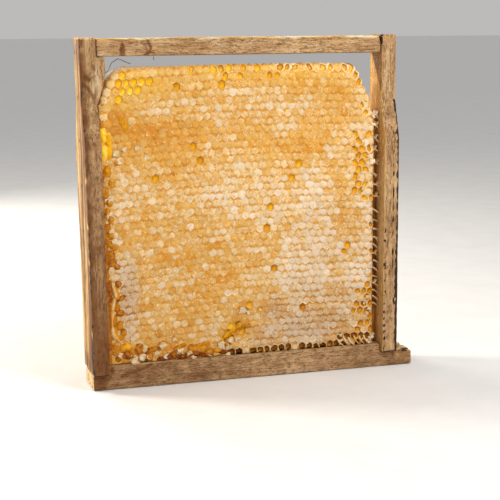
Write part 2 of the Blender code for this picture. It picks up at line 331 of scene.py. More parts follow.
def remeshed(node, voxel):
    """A copy of a CAD node's mesh, evenly remeshed, as points, faces and unit normals."""
    copy = bpy.data.objects.new("copy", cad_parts[node].data.copy())
    bpy.context.scene.collection.objects.link(copy)
    remesh = copy.modifiers.new("even", "REMESH")
    remesh.mode = "VOXEL"
    remesh.voxel_size = voxel
    graph = bpy.context.evaluated_depsgraph_get()
    mesh = bpy.data.meshes.new_from_object(copy.evaluated_get(graph))
    bpy.data.objects.remove(copy)
    count = len(mesh.vertices)
    points = np.empty(count * 3)
    mesh.vertices.foreach_get("co", points)
    normals = np.empty(count * 3)
    mesh.vertices.foreach_get("normal", normals)
    faces = [tuple(p.vertices) for p in mesh.polygons]
    bpy.data.meshes.remove(mesh)
    return points.reshape(-1, 3), faces, normals.reshape(-1, 3)


def edge_nearness(point, low, high):
    """How far a point is from the nearest edge of a box: the second smallest distance to its sides."""
    found = sorted(min(point[k] - low[k], high[k] - point[k]) for k in range(3))
    return max(0.0, found[1])


def make_bar(node, along, paint, wear=0.0003, voxel=0.0008):
    """A bar with worn edges and a rough face in place of a CAD node.

    paint(x, y, z, normal) gives (stain_and_shade, dark, bright, gold, dent) at a point; dent is in metres.
    """
    points, faces, normals = remeshed(node, voxel)
    low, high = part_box(node)
    stretch = {"X": (60, 400, 400), "Z": (400, 400, 60)}[along]
    painted = {"stain_and_shade": [], "dark": [], "bright": [], "gold": []}
    moved = np.empty_like(points)
    for i, (p, normal) in enumerate(zip(points, normals)):
        values = paint(*p, normal)
        rough = wander(p[0] * stretch[0], p[1] * stretch[1], p[2] * stretch[2])
        chip = wander(p[0] * 260, p[1] * 260, p[2] * 260, 3)
        slow = wander(p[0] * 45, p[1] * 45, p[2] * 45, 5)
        edge = fade(edge_nearness(p, low, high), 0.0016)
        push = 0.00006 * rough - 0.00014 * max(0.0, slow)
        push -= wear * edge * max(0.0, 1.4 * chip + 0.1 + 0.4 * slow)
        moved[i] = p + normal * (push - values[4])
        for name, value in zip(painted, values):
            painted[name].append(value)
    made = new_mesh(node + "_weathered", moved, faces, [WOOD[along]])
    for name, numbers in painted.items():
        point_values(made.data, name, numbers)
    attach(made, "root")
    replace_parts(made, node)
    return made


def bump_at(value, centre, width):
    """1 at centre, fading to 0 at width away."""
    return math.exp(-(((value - centre) / width) ** 2))


def oval(x, z, px, pz, half_width, half_height, turn):
    """0 in the middle of an oval round (px, pz) and 1 on its rim. turn is in degrees."""
    c, s = math.cos(math.radians(turn)), math.sin(math.radians(turn))
    along = ((x - px) * c + (z - pz) * s) / half_width
    across = (-(x - px) * s + (z - pz) * c) / half_height
    return along * along + across * across


def blot(x, z, px, pz, half_width, half_height, turn=0.0):
    """A soft spot round (px, pz): 1 in its middle."""
    return math.exp(-(oval(x, z, px, pz, half_width, half_height, turn) ** 1.5))


def stroke(x, z, path, width):
    """Nearness to a line through (across, up) points: 1 on it."""
    best = 1.0
    for (ax, az), (bx, bz) in zip(path, path[1:]):
        dx, dz = bx - ax, bz - az
        t = ((x - ax) * dx + (z - az) * dz) / (dx * dx + dz * dz)
        t = unit(t)
        best = min(best, math.hypot(x - ax - t * dx, z - az - t * dz))
    return math.exp(-((best / width) ** 2))


def bar_depth(z):
    """Half the depth of a side bar at height z."""
    slope_bottom, slope_top = 0.160, 0.185
    share = unit((z - slope_bottom) / (slope_top - slope_bottom))
    return WIDE_DEPTH + (NARROW_DEPTH - WIDE_DEPTH) * share


# Which part of a normal makes a point one of the front, or of a bar's side, top or underside
FRONTWARD = -0.5
SIDEWARD = 0.6
END_FACE = 0.0010  # this near to a side bar's end, a point is on its end face
DARK_SPOTS = (0.1907, 0.1627, 0.1336, 0.1040, 0.0740)  # heights, on the left bar's outer face


def paint_left(x, y, z, normal):
    outer = left_inner(z) - BAR_THICKNESS
    stain_and_shade = dark = bright = gold = 0.0
    depth = bar_depth(z)
    low_down = unit((0.11 - z) / 0.10)
    if normal[0] < -SIDEWARD:  # the outer face, lit gold with scraped streaks
        share = (y + depth) / (2 * depth)
        streak = wander(y * 140, z * 12, 0, 7)
        whiter = unit((0.20 - z) / 0.08)
        bright = 2.4 * streak + 0.30 * whiter
        gold = 0.62 - 0.20 * whiter
        stain_and_shade += 0.42 - 0.24 * whiter + 1.8 * max(0.0, -streak)
        wear_and_highlight = 0.75 + 1.6 * wander(y * 60, z * 170, 0, 17)
        stain_and_shade += 1.5 * wear_and_highlight * fade(share, 0.20)
        dark = wear_and_highlight * (0.5 * fade(share, 0.12) + fade(1 - share, 0.08))
        scorched = unit((0.09 - z) / 0.03)
        dark = max(dark, 2.2 * max(0.0, wander(y * 140, z * 30, 0, 18) - 0.22) * scorched)
        seam = 0.42 + 0.05 * wander(z * 30, 0, 0, 8)
        stain_and_shade += 0.7 * bump_at(share, seam, 0.05) * (0.6 + wander(z * 60, 0, 0, 10))
        stain_and_shade += 0.6 * max(0.0, wander(y * 300, z * 30, 0, 9))
        stain_and_shade += 0.7 * bump_at(z, 0.2190, 0.0060) * max(0.0, 1 - share)
        stain_and_shade += 0.55 * fade(z - FOOT, 0.018) * (1 + wander(y * 200, z * 200, 0, 12))
        for mark in DARK_SPOTS:
            dark = max(dark, 0.95 * bump_at(z, mark, 0.0018) * bump_at(y, 0.002, 0.0016))
    if normal[1] < FRONTWARD:
        near_outer = x - outer
        ragged = 0.0008 * wander(z * 350, x * 200, 0, 11)
        dark = 0.62 * fade(near_outer + ragged, 0.0012)
        stain_and_shade = 0.55 * fade(near_outer, 0.0045) * (1 + wander(z * 150, x * 100, 0, 14))
        # painted shade: the front is darker towards the foot, where less light falls
        stain_and_shade += 0.42 - 0.16 * unit((z - 0.11) / 0.04) + 0.45 * low_down
        stain_and_shade += 0.45 * fade(z - FOOT, 0.030)
        stain_and_shade += 0.35 * max(0.0, wander(x * 120, z * 60, 0, 13))
        inner_edge = left_inner(z) + swelling(z) - x
        stain_and_shade += 0.5 * fade(inner_edge, 0.0012) * (0.5 + wander(z * 200, 0, 0, 16))
        if z > 0.165:
            extra, pale = upper_left_marks(x, z)
            stain_and_shade = stain_and_shade * (1 - pale) + extra
            bright = 0.32 * pale
    # painted light on the top end
    if z > FRAME_HEIGHT - END_FACE:
        bright = 0.75
        dark = 0.6 * max(0.0, wander(x * 500, y * 500, 0, 15))
        stain_and_shade = 0.0
    if z < FOOT + END_FACE:
        dark = max(dark, 0.85)
    return stain_and_shade, max(0.0, dark), unit(bright), gold, 0.0


def upper_left_marks(x, z):
    """Propolis smears and the scraped swelling beside the rail's end: (stain, pale)."""
    path = ((-0.1062, 0.1995), (-0.1030, 0.1975), (-0.1000, 0.1930), (-0.0985, 0.1870))
    arc = stroke(x, z, path, 0.0009)
    path = ((-0.1020, 0.2010), (-0.0998, 0.2035), (-0.0965, 0.2045), (-0.0930, 0.2020))
    upper = stroke(x, z, path, 0.0007)
    smear = blot(x, z, -0.1040, 0.2035, 0.0045, 0.0022, -35)
    band = blot(x, z, -0.1045, 0.1780, 0.0030, 0.0130)
    stain_and_shade = 0.60 * arc + 0.30 * upper + 0.55 * smear + 0.20 * band
    scraped = blot(x, z, -0.0965, 0.1990, 0.0055, 0.0075)
    below = 0.6 * blot(x, z, -0.1010, 0.1870, 0.0030, 0.0110)
    return stain_and_shade, max(scraped, below)


def paint_right(x, y, z, normal):
    stain_and_shade = dark = bright = gold = dent = 0.0
    if normal[1] < FRONTWARD:
        near_outer = HALF_WIDTH - x
        near_inner = x - RIGHT_BAR_INNER
        ragged = 0.0009 * wander(z * 300, x * 300, 0, 21)
        stain_and_shade = 0.10 + 0.30 * max(0.0, wander(x * 100, z * 60, 0, 29))
        # painted light: the front is lighter towards the top
        bright = 0.16 * unit((z - 0.165) / 0.03)
        if z < 0.185:
            width = 0.0021 + 0.0010 * unit((0.10 - z) / 0.04)
            dark = min(1.0, 1.8 * fade(near_outer + 1.4 * ragged, width))
            crack = HALF_WIDTH - 0.0040 + 0.0005 * wander(z * 60, 0, 0, 23)
            if 0.070 < z < 0.168:
                line = max(0.0, 0.6 + 1.4 * wander(z * 190, 0, 0, 25)) * bump_at(x, crack, 0.00060)
                dark = max(dark, line)
                dent = 0.0006 * line
        else:
            dark = 0.5 * fade(near_outer + ragged, 0.0009)
        fleck = wander(x * 700, z * 420, 0, 27)
        if z < 0.10:
            dark = max(dark, 4.5 * max(0.0, fleck) * fade(near_inner, 0.0024))
            stain_and_shade += 0.6 * fade(near_inner, 0.0022)
        dark = max(dark, 0.95 * fade(z - FOOT, 0.0024))
        # painted shadow along the inner edge at the foot
        dark = max(dark, 1.1 * fade(near_inner, 0.0012) * fade(z - FOOT, 0.010))
        dark = max(dark, 1.2 * blot(x, z, HALF_WIDTH - 0.0032, 0.0470, 0.0007, 0.0024))
        dark = max(dark, 1.0 * blot(x, z, HALF_WIDTH - 0.0027, 0.0560, 0.0005, 0.0016))
        bright += 0.25 * blot(x, z, HALF_WIDTH - 0.0045, 0.0190, 0.0022, 0.0050)
    if normal[0] < -SIDEWARD:  # the inner face: painted light, gold, above; below, brown from wax remains and painted shade
        shade = unit((0.180 - z) / 0.035)
        gold = 0.62 - 0.20 * shade
        bright = 0.85 - 0.40 * shade
        stain_and_shade = 0.10 * shade + 0.25 * wander(y * 200, z * 40, 0, 31) * (0.4 + shade)
        # painted diagonal shadow of the rail at the top
        if z > 0.19:
            stain_and_shade = max(stain_and_shade, 0.0) + 0.75 * unit((z - 0.204 - 1.6 * y) / 0.003)
    if normal[0] > SIDEWARD:
        bright = 0.2
        stain_and_shade = 0.2 + 0.3 * max(0.0, wander(y * 150, z * 40, 0, 33))
        dark = 0.7 * max(0.0, wander(y * 260, z * 45, 0, 35) - 0.2)
    if z > FRAME_HEIGHT - END_FACE:
        bright = 0.30
        stain_and_shade = 0.35
        dark = 0.9 * blot(x, y, RIGHT_BAR_INNER + 0.0006, -0.0090, 0.0012, 0.0020)
    dark = max(dark, 1.1 * blot(x, z, RIGHT_BAR_INNER + 0.0002, 0.2245, 0.0008, 0.0030))
    bright = max(bright, 0.8 * blot(x, z, RIGHT_BAR_INNER + 0.0022, 0.2266, 0.0012, 0.0006))
    return max(0.0, stain_and_shade), max(0.0, dark), bright, gold, dent


def paint_rail(x, y, z, normal):
    stain_and_shade = dark = bright = gold = 0.0
    if normal[2] > SIDEWARD:
        # painted light on the top
        bright = 1.0
        dark = 0.4 * max(0.0, wander(x * 120, y * 500, 0, 41) - 0.25)
    if normal[1] < FRONTWARD:
        low = (z - RAIL_LOW.z) / (RAIL_HIGH.z - RAIL_LOW.z)
        wedge = 0.0006 + 0.0014 * max(0.0, 1 - low)
        stain_and_shade = 1.0 * bump_at(x, -0.0798, wedge) * (1 if low < 0.75 else 0)
        bend = ((-0.0640, RAIL_HIGH.z), (-0.0612, 0.2215), (-0.0625, 0.2185), (-0.0660, 0.2164))
        stain_and_shade = max(stain_and_shade, 0.85 * stroke(x, z, bend, 0.0009))
        bend = ((-0.0655, 0.2230), (-0.0630, 0.2190), (-0.0590, 0.2175))
        stain_and_shade = max(stain_and_shade, 0.5 * stroke(x, z, bend, 0.0012))
        stain_and_shade += 0.25 * blot(x, z, -0.0890, 0.2190, 0.0070, 0.0040)
        stain_and_shade += 0.12 + 0.25 * max(0.0, wander(x * 60, z * 120, 0, 43))
        bright = 0.10
        dark = 0.7 * fade(z - RAIL_LOW.z, 0.0008) * (wander(x * 150, 0, 0, 45) + 0.6)
        dark = max(dark, 0.8 * fade(x - RAIL_LOW.x, 0.0006))
        # painted highlight along the top edge of the front
        wear_and_highlight = unit((z - 0.2264 + 0.0003 * wander(x * 200, 0, 0, 46)) / 0.0004)
        stain_and_shade *= 1 - wear_and_highlight
        bright = max(bright, 0.85 * wear_and_highlight)
    if normal[2] < -SIDEWARD:
        stain_and_shade = 0.45
    return max(0.0, stain_and_shade), max(0.0, dark), bright, gold, 0.0


def paint_base(x, y, z, normal):
    stain_and_shade = dark = bright = gold = dent = 0.0
    if normal[1] < FRONTWARD:
        stain_and_shade = 0.30 + 0.35 * max(0.0, wander(x * 50, z * 90, 0, 51)) + 0.3 * max(0.0, -x / 0.11)
        dark = 0.75 * fade(z, 0.0010) * (wander(x * 90, 0, 0, 53) + 0.7)
        dark = max(dark, 0.8 * max(0.0, wander(x * 330, z * 900, 0, 54) - 0.42))
        stain_and_shade += 0.6 * blot(x, z, -0.1010, 0.0050, 0.0050, 0.0060)
        stain_and_shade += 0.8 * stroke(x, z, ((-0.0935, 0.0165), (-0.0925, 0.0120), (-0.0960, 0.0080)), 0.0014)
        line = ((-0.0860, 0.0085), (-0.0800, 0.0105), (-0.0740, 0.0118), (-0.0660, 0.0150))
        stain_and_shade += 0.75 * stroke(x, z, line, 0.0007)
        bright = 0.35 * blot(x, z, -0.0870, 0.0135, 0.0045, 0.0022, 15)
        bright = max(bright, 0.30 * blot(x, z, -0.0860, 0.0015, 0.0130, 0.0012))
        bright += 0.12 * max(0.0, wander(x * 40, z * 200, 0, 57))
        dark = max(dark, 0.8 * blot(x, z, 0.1165, 0.0100, 0.0007, 0.0012))
    if normal[2] > SIDEWARD:
        stain_and_shade = 0.35 + 0.3 * wander(x * 80, y * 80, 0, 59)
        bright = 0.15
    if normal[0] < -SIDEWARD:
        # painted light on the left end
        bright = 0.9
        stain_and_shade = 0.5 * bump_at(y, -0.0095, 0.0012) + 0.3 * max(0.0, wander(y * 300, z * 60, 0, 60))
        dark = 0.8 * fade(z, 0.0012)
    if x > HALF_WIDTH + 0.0005 and z > 0.0060:  # the lug's broken, charred end
        chew = wander(x * 420, y * 300, z * 420, 61)
        reach = min(1.0, (x - HALF_WIDTH) / (BASE_HIGH.x - HALF_WIDTH))
        dent = 0.0018 * max(0.0, chew + 0.15) * reach
        if normal[2] > 0.4:
            dark = max(dark, 1.8 * max(0.0, chew + 0.22) * (0.5 + 0.5 * reach))
            bright = 0.35 + 0.8 * max(0.0, -2.0 * chew)
        else:
            bright = 0.30
            dark = max(dark, fade(BASE_HIGH.z - z, 0.0016) * (0.5 + chew))
    return max(0.0, stain_and_shade), max(0.0, dark), bright, gold, dent


# ---------------------------------------------------------------- the comb's colour zones

# Patches on the front that are wetter (towards 1) or drier (towards 0) than the comb round them:
# (across, up, half width, half height, turn in degrees, value)
ZONES = (
    (0.0000, 0.1180, 0.0500, 0.0200, 0, 0.30),
    (-0.0570, 0.1640, 0.0340, 0.0120, -4, 0.86),
    (-0.0460, 0.1500, 0.0130, 0.0100, 0, 0.80),
    (-0.0850, 0.1760, 0.0070, 0.0080, 0, 0.90),
    (0.0440, 0.1570, 0.0150, 0.0085, 0, 0.84),
    (0.0130, 0.1590, 0.0090, 0.0090, 0, 0.74),
    (0.0000, 0.1780, 0.0100, 0.0070, 0, 0.62),
    (0.0250, 0.2040, 0.0280, 0.0050, 0, 0.62),
    (0.0000, 0.1450, 0.0300, 0.0070, 0, 0.42),
    (0.0710, 0.1830, 0.0140, 0.0200, 0, 0.60),
    (-0.0530, 0.1930, 0.0160, 0.0070, 0, 0.60),
    (-0.0200, 0.1960, 0.0070, 0.0060, 0, 0.60),
    (-0.0100, 0.1870, 0.0500, 0.0060, 2, 0.40),
    (-0.0750, 0.1280, 0.0150, 0.0150, 0, 0.30),
    (-0.0440, 0.1140, 0.0090, 0.0080, 0, 0.60),
    (-0.0690, 0.1170, 0.0080, 0.0060, 0, 0.60),
    (-0.0480, 0.0820, 0.0160, 0.0080, 6, 0.64),
    (-0.0120, 0.0710, 0.0100, 0.0090, 0, 0.66),
    (-0.0350, 0.0560, 0.0260, 0.0180, 0, 0.60),
    (-0.0810, 0.0610, 0.0080, 0.0260, 0, 0.08),
    (-0.0210, 0.0370, 0.0090, 0.0130, 0, 0.32),
    (-0.0500, 0.0350, 0.0160, 0.0110, 0, 0.62),
    (-0.0040, 0.0360, 0.0190, 0.0070, 34, 0.80),
    (0.0190, 0.0460, 0.0120, 0.0070, 0, 0.60),
    (0.0500, 0.1020, 0.0130, 0.0380, 0, 0.13),
    (0.0400, 0.0700, 0.0240, 0.0230, 0, 0.12),
    (0.0790, 0.0630, 0.0080, 0.0100, 0, 0.06),
    (0.0380, 0.0290, 0.0220, 0.0110, 0, 0.08),
    (0.0750, 0.1070, 0.0070, 0.0130, 0, 0.60),
    (0.0700, 0.0440, 0.0090, 0.0070, 0, 0.38),
    (0.0760, 0.0240, 0.0110, 0.0050, 0, 0.62),
    (0.0810, 0.1480, 0.0050, 0.0180, 0, 0.66),
    (-0.0600, 0.0230, 0.0300, 0.0050, 0, 0.90),
    (-0.0300, 0.0210, 0.0150, 0.0045, 0, 0.95),
)
ZONE_BASE = 0.50


def patch_share(x, z, patch):
    """How much of a patch reaches (x, z), with a ragged border."""
    x += 0.0035 * wander(x * 120, z * 120, 0, 70)
    z += 0.0035 * wander(x * 120, z * 120, 0, 71)
    return math.exp(-(oval(x, z, *patch[:5]) ** 1.6))


def wetness(x, z, side):
    """0 for dry pale caps, 1 for caps that honey has soaked."""
    value = ZONE_BASE + 0.10 * wander(x * 45, z * 70, side, 72)
    if side < 0:
        for patch in ZONES:
            share = patch_share(x, z, patch)
            value += (patch[5] - value) * share
        strip = fade(x - comb_left(z), 0.006)
        value = max(value, 0.85 * strip)
    else:
        value += 0.30 * wander(x * 28, z * 34, 3, 73)
    return value


# ---------------------------------------------------------------- the cells

# Single open cells on the front, as shares of the comb from its left and from its foot, and how
# bright the honey in them is, from 0 for brown to 1 for yellow
SINGLE_CELLS = (
    (0.25, 0.93, 0.55),
    (0.42, 0.93, 0.60),
    (0.33, 0.74, 0.60),
    (0.35, 0.68, 0.50),
    (0.20, 0.62, 0.55),
    (0.70, 0.65, 0.62),
    (0.69, 0.62, 0.60),
    (0.60, 0.50, 0.60),
    (0.58, 0.44, 0.52),
    (0.61, 0.30, 0.40),
    (0.71, 0.16, 0.30),
)

# Borders where part of the cells lie open: (left, right, low, high), share, brightness and mouth
OPEN_BORDERS = (
    ((0.070, 0.080, 0.072, 0.110), 0.25, (0.50, 0.66), (0.66, 0.86)),
    ((0.076, 0.090, 0.024, 0.072), 0.35, (0.34, 0.44), (0.66, 0.86)),
)


def row_height(row):
    return FIRST_ROW + ROW_PITCH_BOTTOM * row + ROW_PITCH_GROWTH / 2 * row * row


def row_arch(x):
    """The rows rise from the left, run level in the middle and sink a little to the right."""
    return 0.0128 * x - 0.325 * x * x + 0.0012


class Lattice:
    """The cells of one face. Centres wander a little, and three neighbours share each corner."""

    def __init__(self, side):
        self.side = side
        self.random = random.Random(5 if side < 0 else 6)
        self.shift = 0.0 if side < 0 else 0.0023
        self.jitter = {}
        for row in range(-3, 50):
            for column in range(-26, 27):
                step = (self.random.uniform(-1, 1), self.random.uniform(-1, 1))
                self.jitter[row, column] = step

    def centre(self, row, column):
        jx, jz = self.jitter[row, column]
        x = (column + 0.5 * (row % 2)) * CELL_PITCH + self.shift
        z = row_height(row) + row_arch(x)
        swing = 0.0005 * wander(x * 60, z * 60, self.side, 80)
        loose = 0.00034 + 0.00012 * unit((0.16 - z) / 0.05)
        return x + loose * jx + swing, z + loose * jz + swing

    def neighbours(self, row, column):
        """The six neighbours, anticlockwise from the right."""
        odd = row % 2
        return (
            (row, column + 1),
            (row + 1, column + odd),
            (row + 1, column + odd - 1),
            (row, column - 1),
            (row - 1, column + odd - 1),
            (row - 1, column + odd),
        )

    def corners(self, row, column):
        """Twelve (key, x, z) round a cell: corner and edge middle in turn, from 30 degrees."""
        around = self.neighbours(row, column)
        own = self.centre(row, column)
        places = [self.centre(*n) for n in around]
        tips = []
        for k in range(6):
            key = tuple(sorted(((row, column), around[k], around[(k + 1) % 6])))
            px = (own[0] + places[k][0] + places[(k + 1) % 6][0]) / 3
            pz = (own[1] + places[k][1] + places[(k + 1) % 6][1]) / 3
            tips.append((key, px, pz))
        found = []
        for k in range(6):
            here, after = tips[k], tips[(k + 1) % 6]
            found.append(here)
            key = tuple(sorted(((row, column), around[(k + 1) % 6])))
            found.append((key, (here[1] + after[1]) / 2, (here[2] + after[2]) / 2))
        return found


def in_comb(x, z):
    """Whether a cell centred at (x, z) belongs to the comb."""
    if not COMB_BOTTOM + 0.0003 < z < COMB_TOP - 0.0012:
        return False
    probe = min(z + 0.0010, COMB_TOP)
    right = comb_right(probe)
    return comb_left(probe) + 0.0009 < x < right - 0.0009


def surface(x, z, side):
    """The comb's face with the torn channel on the front."""
    depth = comb_depth(x, z, side)
    if side < 0:
        depth -= 0.0022 * gouged(x, z)
    return depth


def gouged(x, z):
    """How deep the torn channel is at (x, z): 1 in its middle, 0 outside."""
    return max(0.0, 1 - oval(x, z, *CHANNEL) ** 1.5)


# The torn channel at the gouge: across, up, half length, half width and turn in degrees
CHANNEL = (-0.0085, 0.0305, 0.0085, 0.0026, 35)

# Rows of dry pale caps in the upper half of the front: (height, from, to, how much paler)
PALE_ROWS = (
    (0.1985, -0.040, -0.028, 0.28),
    (0.1925, -0.053, -0.046, 0.25),
    (0.1925, -0.022, 0.030, 0.22),
    (0.1877, -0.062, -0.030, 0.35),
    (0.1877, -0.012, 0.045, 0.22),
    (0.1825, -0.072, -0.052, 0.35),
    (0.1828, -0.030, 0.050, 0.26),
    (0.1780, -0.024, 0.040, 0.15),
    (0.1733, -0.012, 0.034, 0.12),
    (0.1400, -0.030, 0.060, 0.10),
    (0.1260, -0.060, 0.050, 0.08),
)


# Where the front's caps are dull and pinkish: (across, up, half width, half height, turn, how much)
DULL = (
    (0.0500, 0.0330, 0.0360, 0.0150, 0, 0.62),
    (0.0230, 0.0440, 0.0140, 0.0120, 0, 0.55),
    (0.0420, 0.0560, 0.0200, 0.0120, 0, 0.40),
    (0.0150, 0.0280, 0.0130, 0.0090, 0, 0.45),
    (0.0650, 0.0520, 0.0160, 0.0100, 0, 0.45),
    (-0.0800, 0.0600, 0.0080, 0.0260, 0, 0.75),
    (0.0600, 0.0900, 0.0280, 0.0300, 0, 0.20),
)


def dullness(x, z):
    """How dull and pinkish the front's wax is at (x, z)."""
    return max(patch[5] * patch_share(x, z, patch) for patch in DULL)


def yellowness(x, z):
    """How yellow the wax is, where light comes through it along the comb's top."""
    corner = blot(x, z, -0.085, 0.203, 0.034, 0.018)
    top = unit((z - 0.190) / 0.016) * (0.45 + 0.4 * wander(x * 60, z * 90, 0, 88))
    return max(0.0, 0.75 * corner, top)


def paler(x, z):
    """How much a row of pale caps takes off the wetness at (x, z)."""
    found = 0.0
    for height, start, end, amount in PALE_ROWS:
        if start < x < end and abs(z - row_arch(x) - height) < 0.0024:
            found = max(found, amount)
    return found


def open_cell(cell, honey, level, mouth=None, pale=None, ragged=None):
    """Opens a cell. honey is its brightness, level its depth, and the rest is the look of its mouth."""
    cell.update(kind="open", honey=honey, level=level)
    for name, value in (("mouth", mouth), ("pale", pale), ("ragged", ragged)):
        if value is not None:
            cell[name] = value


def open_front_cells(cells, picks):
    """Opens the bright cells in the upper left corner, parts of the borders and the single ones."""
    for key in sorted(cells):
        cell = cells[key]
        x, z = cell["x"], cell["z"]
        in_from_edge = min(x - comb_left(z), COMB_TOP - z)
        if x < -0.060 and z > 0.188 and 0.0020 < in_from_edge < 0.0160 and picks.random() < 0.60:
            open_cell(cell, picks.uniform(0.75, 1.0), 0.0008, picks.uniform(0.86, 0.95), 0.5, 0.6)
        for (left, right, low, high), share, honey, mouth in OPEN_BORDERS:
            if left < x < right and low < z < high and picks.random() < share:
                open_cell(cell, picks.uniform(*honey), 0.0009, picks.uniform(*mouth), 0.2, 1.4)
        if blot(x, z, -0.003, 0.038, 0.018, 0.006, 48) > 0.3 and picks.random() < 0.5:
            open_cell(cell, picks.uniform(0.5, 0.8), 0.0009, picks.uniform(0.80, 0.90), 0.2, 1.0)
    for across, up, glow in SINGLE_CELLS:
        z = COMB_BOTTOM + up * (COMB_TOP - COMB_BOTTOM)
        x = comb_left(z) + across * (COMB_FACE_RIGHT - comb_left(z))
        near = min(cells, key=lambda k: math.hypot(cells[k]["x"] - x, cells[k]["z"] - z))
        open_cell(cells[near], glow, 0.0009, picks.uniform(0.84, 0.94), 0.15, 0.5)


def open_by_place(cell, side, picks):
    """Opens some cells of the lowest row, the top, the right border and the gouge."""
    x, z = cell["x"], cell["z"]
    front = side < 0
    border = min(x - comb_left(z), comb_right(z) - x)
    below_top = COMB_TOP - z
    if z < LOWEST_ROW and front and x > -0.012:
        if picks.random() < 0.88:
            honey, level = 0.30 * picks.random(), picks.uniform(0.0016, 0.0034)
            open_cell(cell, honey, level, picks.uniform(0.70, 0.95), 0.6 * picks.random(), 1.4)
        cell["low"] = picks.uniform(0.0006, 0.0014)
    elif z < LOWEST_ROW and picks.random() < 0.6:
        open_cell(cell, 0.06 + 0.25 * picks.random(), 0.0014, pale=0.15)
    elif "lit" in cell and picks.random() < 0.55:
        pale = 0.3 + 0.5 * cell["lit"]
        open_cell(cell, picks.uniform(0.40, 0.72), 0.0008, picks.uniform(0.54, 0.94), pale, 2.8)
    elif below_top < 0.0034:
        if picks.random() < 0.5:
            open_cell(cell, 0.50 + 0.3 * picks.random(), 0.0007, picks.uniform(0.70, 0.92), 0.3, 1.6)
    elif below_top < 0.0120 and abs(x - 0.012) < 0.034 and picks.random() < 0.22:
        open_cell(cell, 0.50 + 0.25 * picks.random(), 0.0007, picks.uniform(0.55, 0.84), 0.3, 1.8)
    elif front and x > 0.066 and z < 0.0240:
        open_cell(cell, 0.12 + 0.25 * picks.random(), 0.0022, picks.uniform(0.84, 0.98), 0.45, 1.5)
    elif front and 0.0765 < x < 0.0880 and 0.118 < z < 0.172 and picks.random() < 0.60:
        honey, mouth = picks.uniform(0.40, 0.66), picks.uniform(0.56, 1.0)
        open_cell(cell, honey, 0.0007, mouth, 0.2 * picks.random(), 3.4)
    elif border < 0.0040 and front and x > 0 and z < 0.075 and picks.random() < 0.75:
        open_cell(cell, 0.28 + 0.2 * picks.random(), 0.0009, picks.uniform(0.58, 0.80), 0.25, 1.3)
    elif border < 0.0035 and x > 0 and picks.random() < 0.3:
        open_cell(cell, 0.32 + 0.2 * picks.random(), 0.0009, picks.uniform(0.55, 0.75), 0.25)
    if front and gouged(x, z) > 0.3:
        open_cell(cell, 0.62 if z > 0.022 else 0.30, 0.0006)


def cell_wetness(cell, row, side, picks):
    """How far honey has soaked a cell: its zone's value, varied along its row and by chance."""
    x, z = cell["x"], cell["z"]
    along_row = wander(x * 38, row * 1.9, side, 81)
    varied = 0.08 + 0.06 * unit((0.145 - z) / 0.05)
    wet = wetness(x, z, side) + 0.12 * along_row + picks.gauss(0, varied)
    if side < 0:
        wet -= 0.6 * paler(x, z)
        wet += 0.10 * unit((z - 0.165) / 0.02)
    if picks.random() < 0.05:
        wet -= 0.20
    if side > 0:
        return wet
    wet -= 0.22 * unit((x - 0.066) / 0.016) * unit((z - 0.03) / 0.04)
    if z < 0.165 and COMB_FACE_RIGHT - x < 0.0070:
        wet = min(wet, 0.28 + 0.50 * wander(z * 130, x * 130, 0, 99))
    outer = min(comb_right(z) - x, COMB_TOP - z)
    if z > 0.172 and x > 0.015 and outer < 0.0070:
        wet = min(wet, 0.30 + 0.2 * picks.random())
        cell["lit"] = 1 - outer / 0.0070
    return wet


def paint_cell(cell, row, side, picks):
    """The painted values of a cell, and the shape of its cap and of its mouth."""
    x, z = cell["x"], cell["z"]
    front = side < 0
    wet = cell_wetness(cell, row, side, picks)
    # painted light: cells near the upper left corner are lighter and drier, as if lit through the wax
    corner = 1 - min(x - comb_left(z), COMB_TOP - z) / 0.0075
    corner = max(0.0, corner) if front and z > 0.176 and x < -0.060 else 0.0
    cell["wet"] = wet - 0.5 * corner
    # painted shade: cells are darker towards the bottom, the left and the top rows
    shade = 3.6 * unit((0.14 - z) / 0.12) + 1.6 * max(0.0, -x / 0.1)
    shade += 1.5 * unit((z - 0.165) / 0.02)
    yellow = max(yellowness(x, z) if front else 0.3, 0.5 * cell.get("lit", 0.0))
    cell["yellow"] = yellow * (1 - 0.5 * corner)
    cell["tone"] = picks.gauss(0, 1) - (shade if front else 1.0) + 7.0 * corner
    cell["dull"] = dullness(x, z) if front else 0.0
    cell["dome"] = picks.uniform(0.4, 1.0)
    cell["lean"] = picks.uniform(-1, 1)
    cell["tilt"] = (picks.gauss(0, 0.00010), picks.gauss(0, 0.00012))
    cell["mouth"] = picks.uniform(0.60, 0.80)
    cell["ragged"] = 1.0
    in_from_edge = min(x - comb_left(z), comb_right(z) - x, COMB_TOP - z)
    cell["pale"] = picks.uniform(0.45, 0.85) if in_from_edge < 0.016 else 0.25


def cell_kinds(lattice):
    """(row, column) to a dict that says what kind of cell it is."""
    cells = {}
    for row in range(0, 46):
        for column in range(-22, 23):
            x, z = lattice.centre(row, column)
            if in_comb(x, z):
                cells[row, column] = {"x": x, "z": z, "kind": "cap"}
    side = lattice.side
    picks = lattice.random
    for (row, _), cell in cells.items():
        paint_cell(cell, row, side, picks)
        open_by_place(cell, side, picks)
    if side < 0:
        open_front_cells(cells, picks)
        return cells
    for key in sorted(cells):
        if cells[key]["kind"] == "cap" and picks.random() < 0.03:
            open_cell(cells[key], picks.uniform(0.4, 0.9), 0.0018)
    return cells


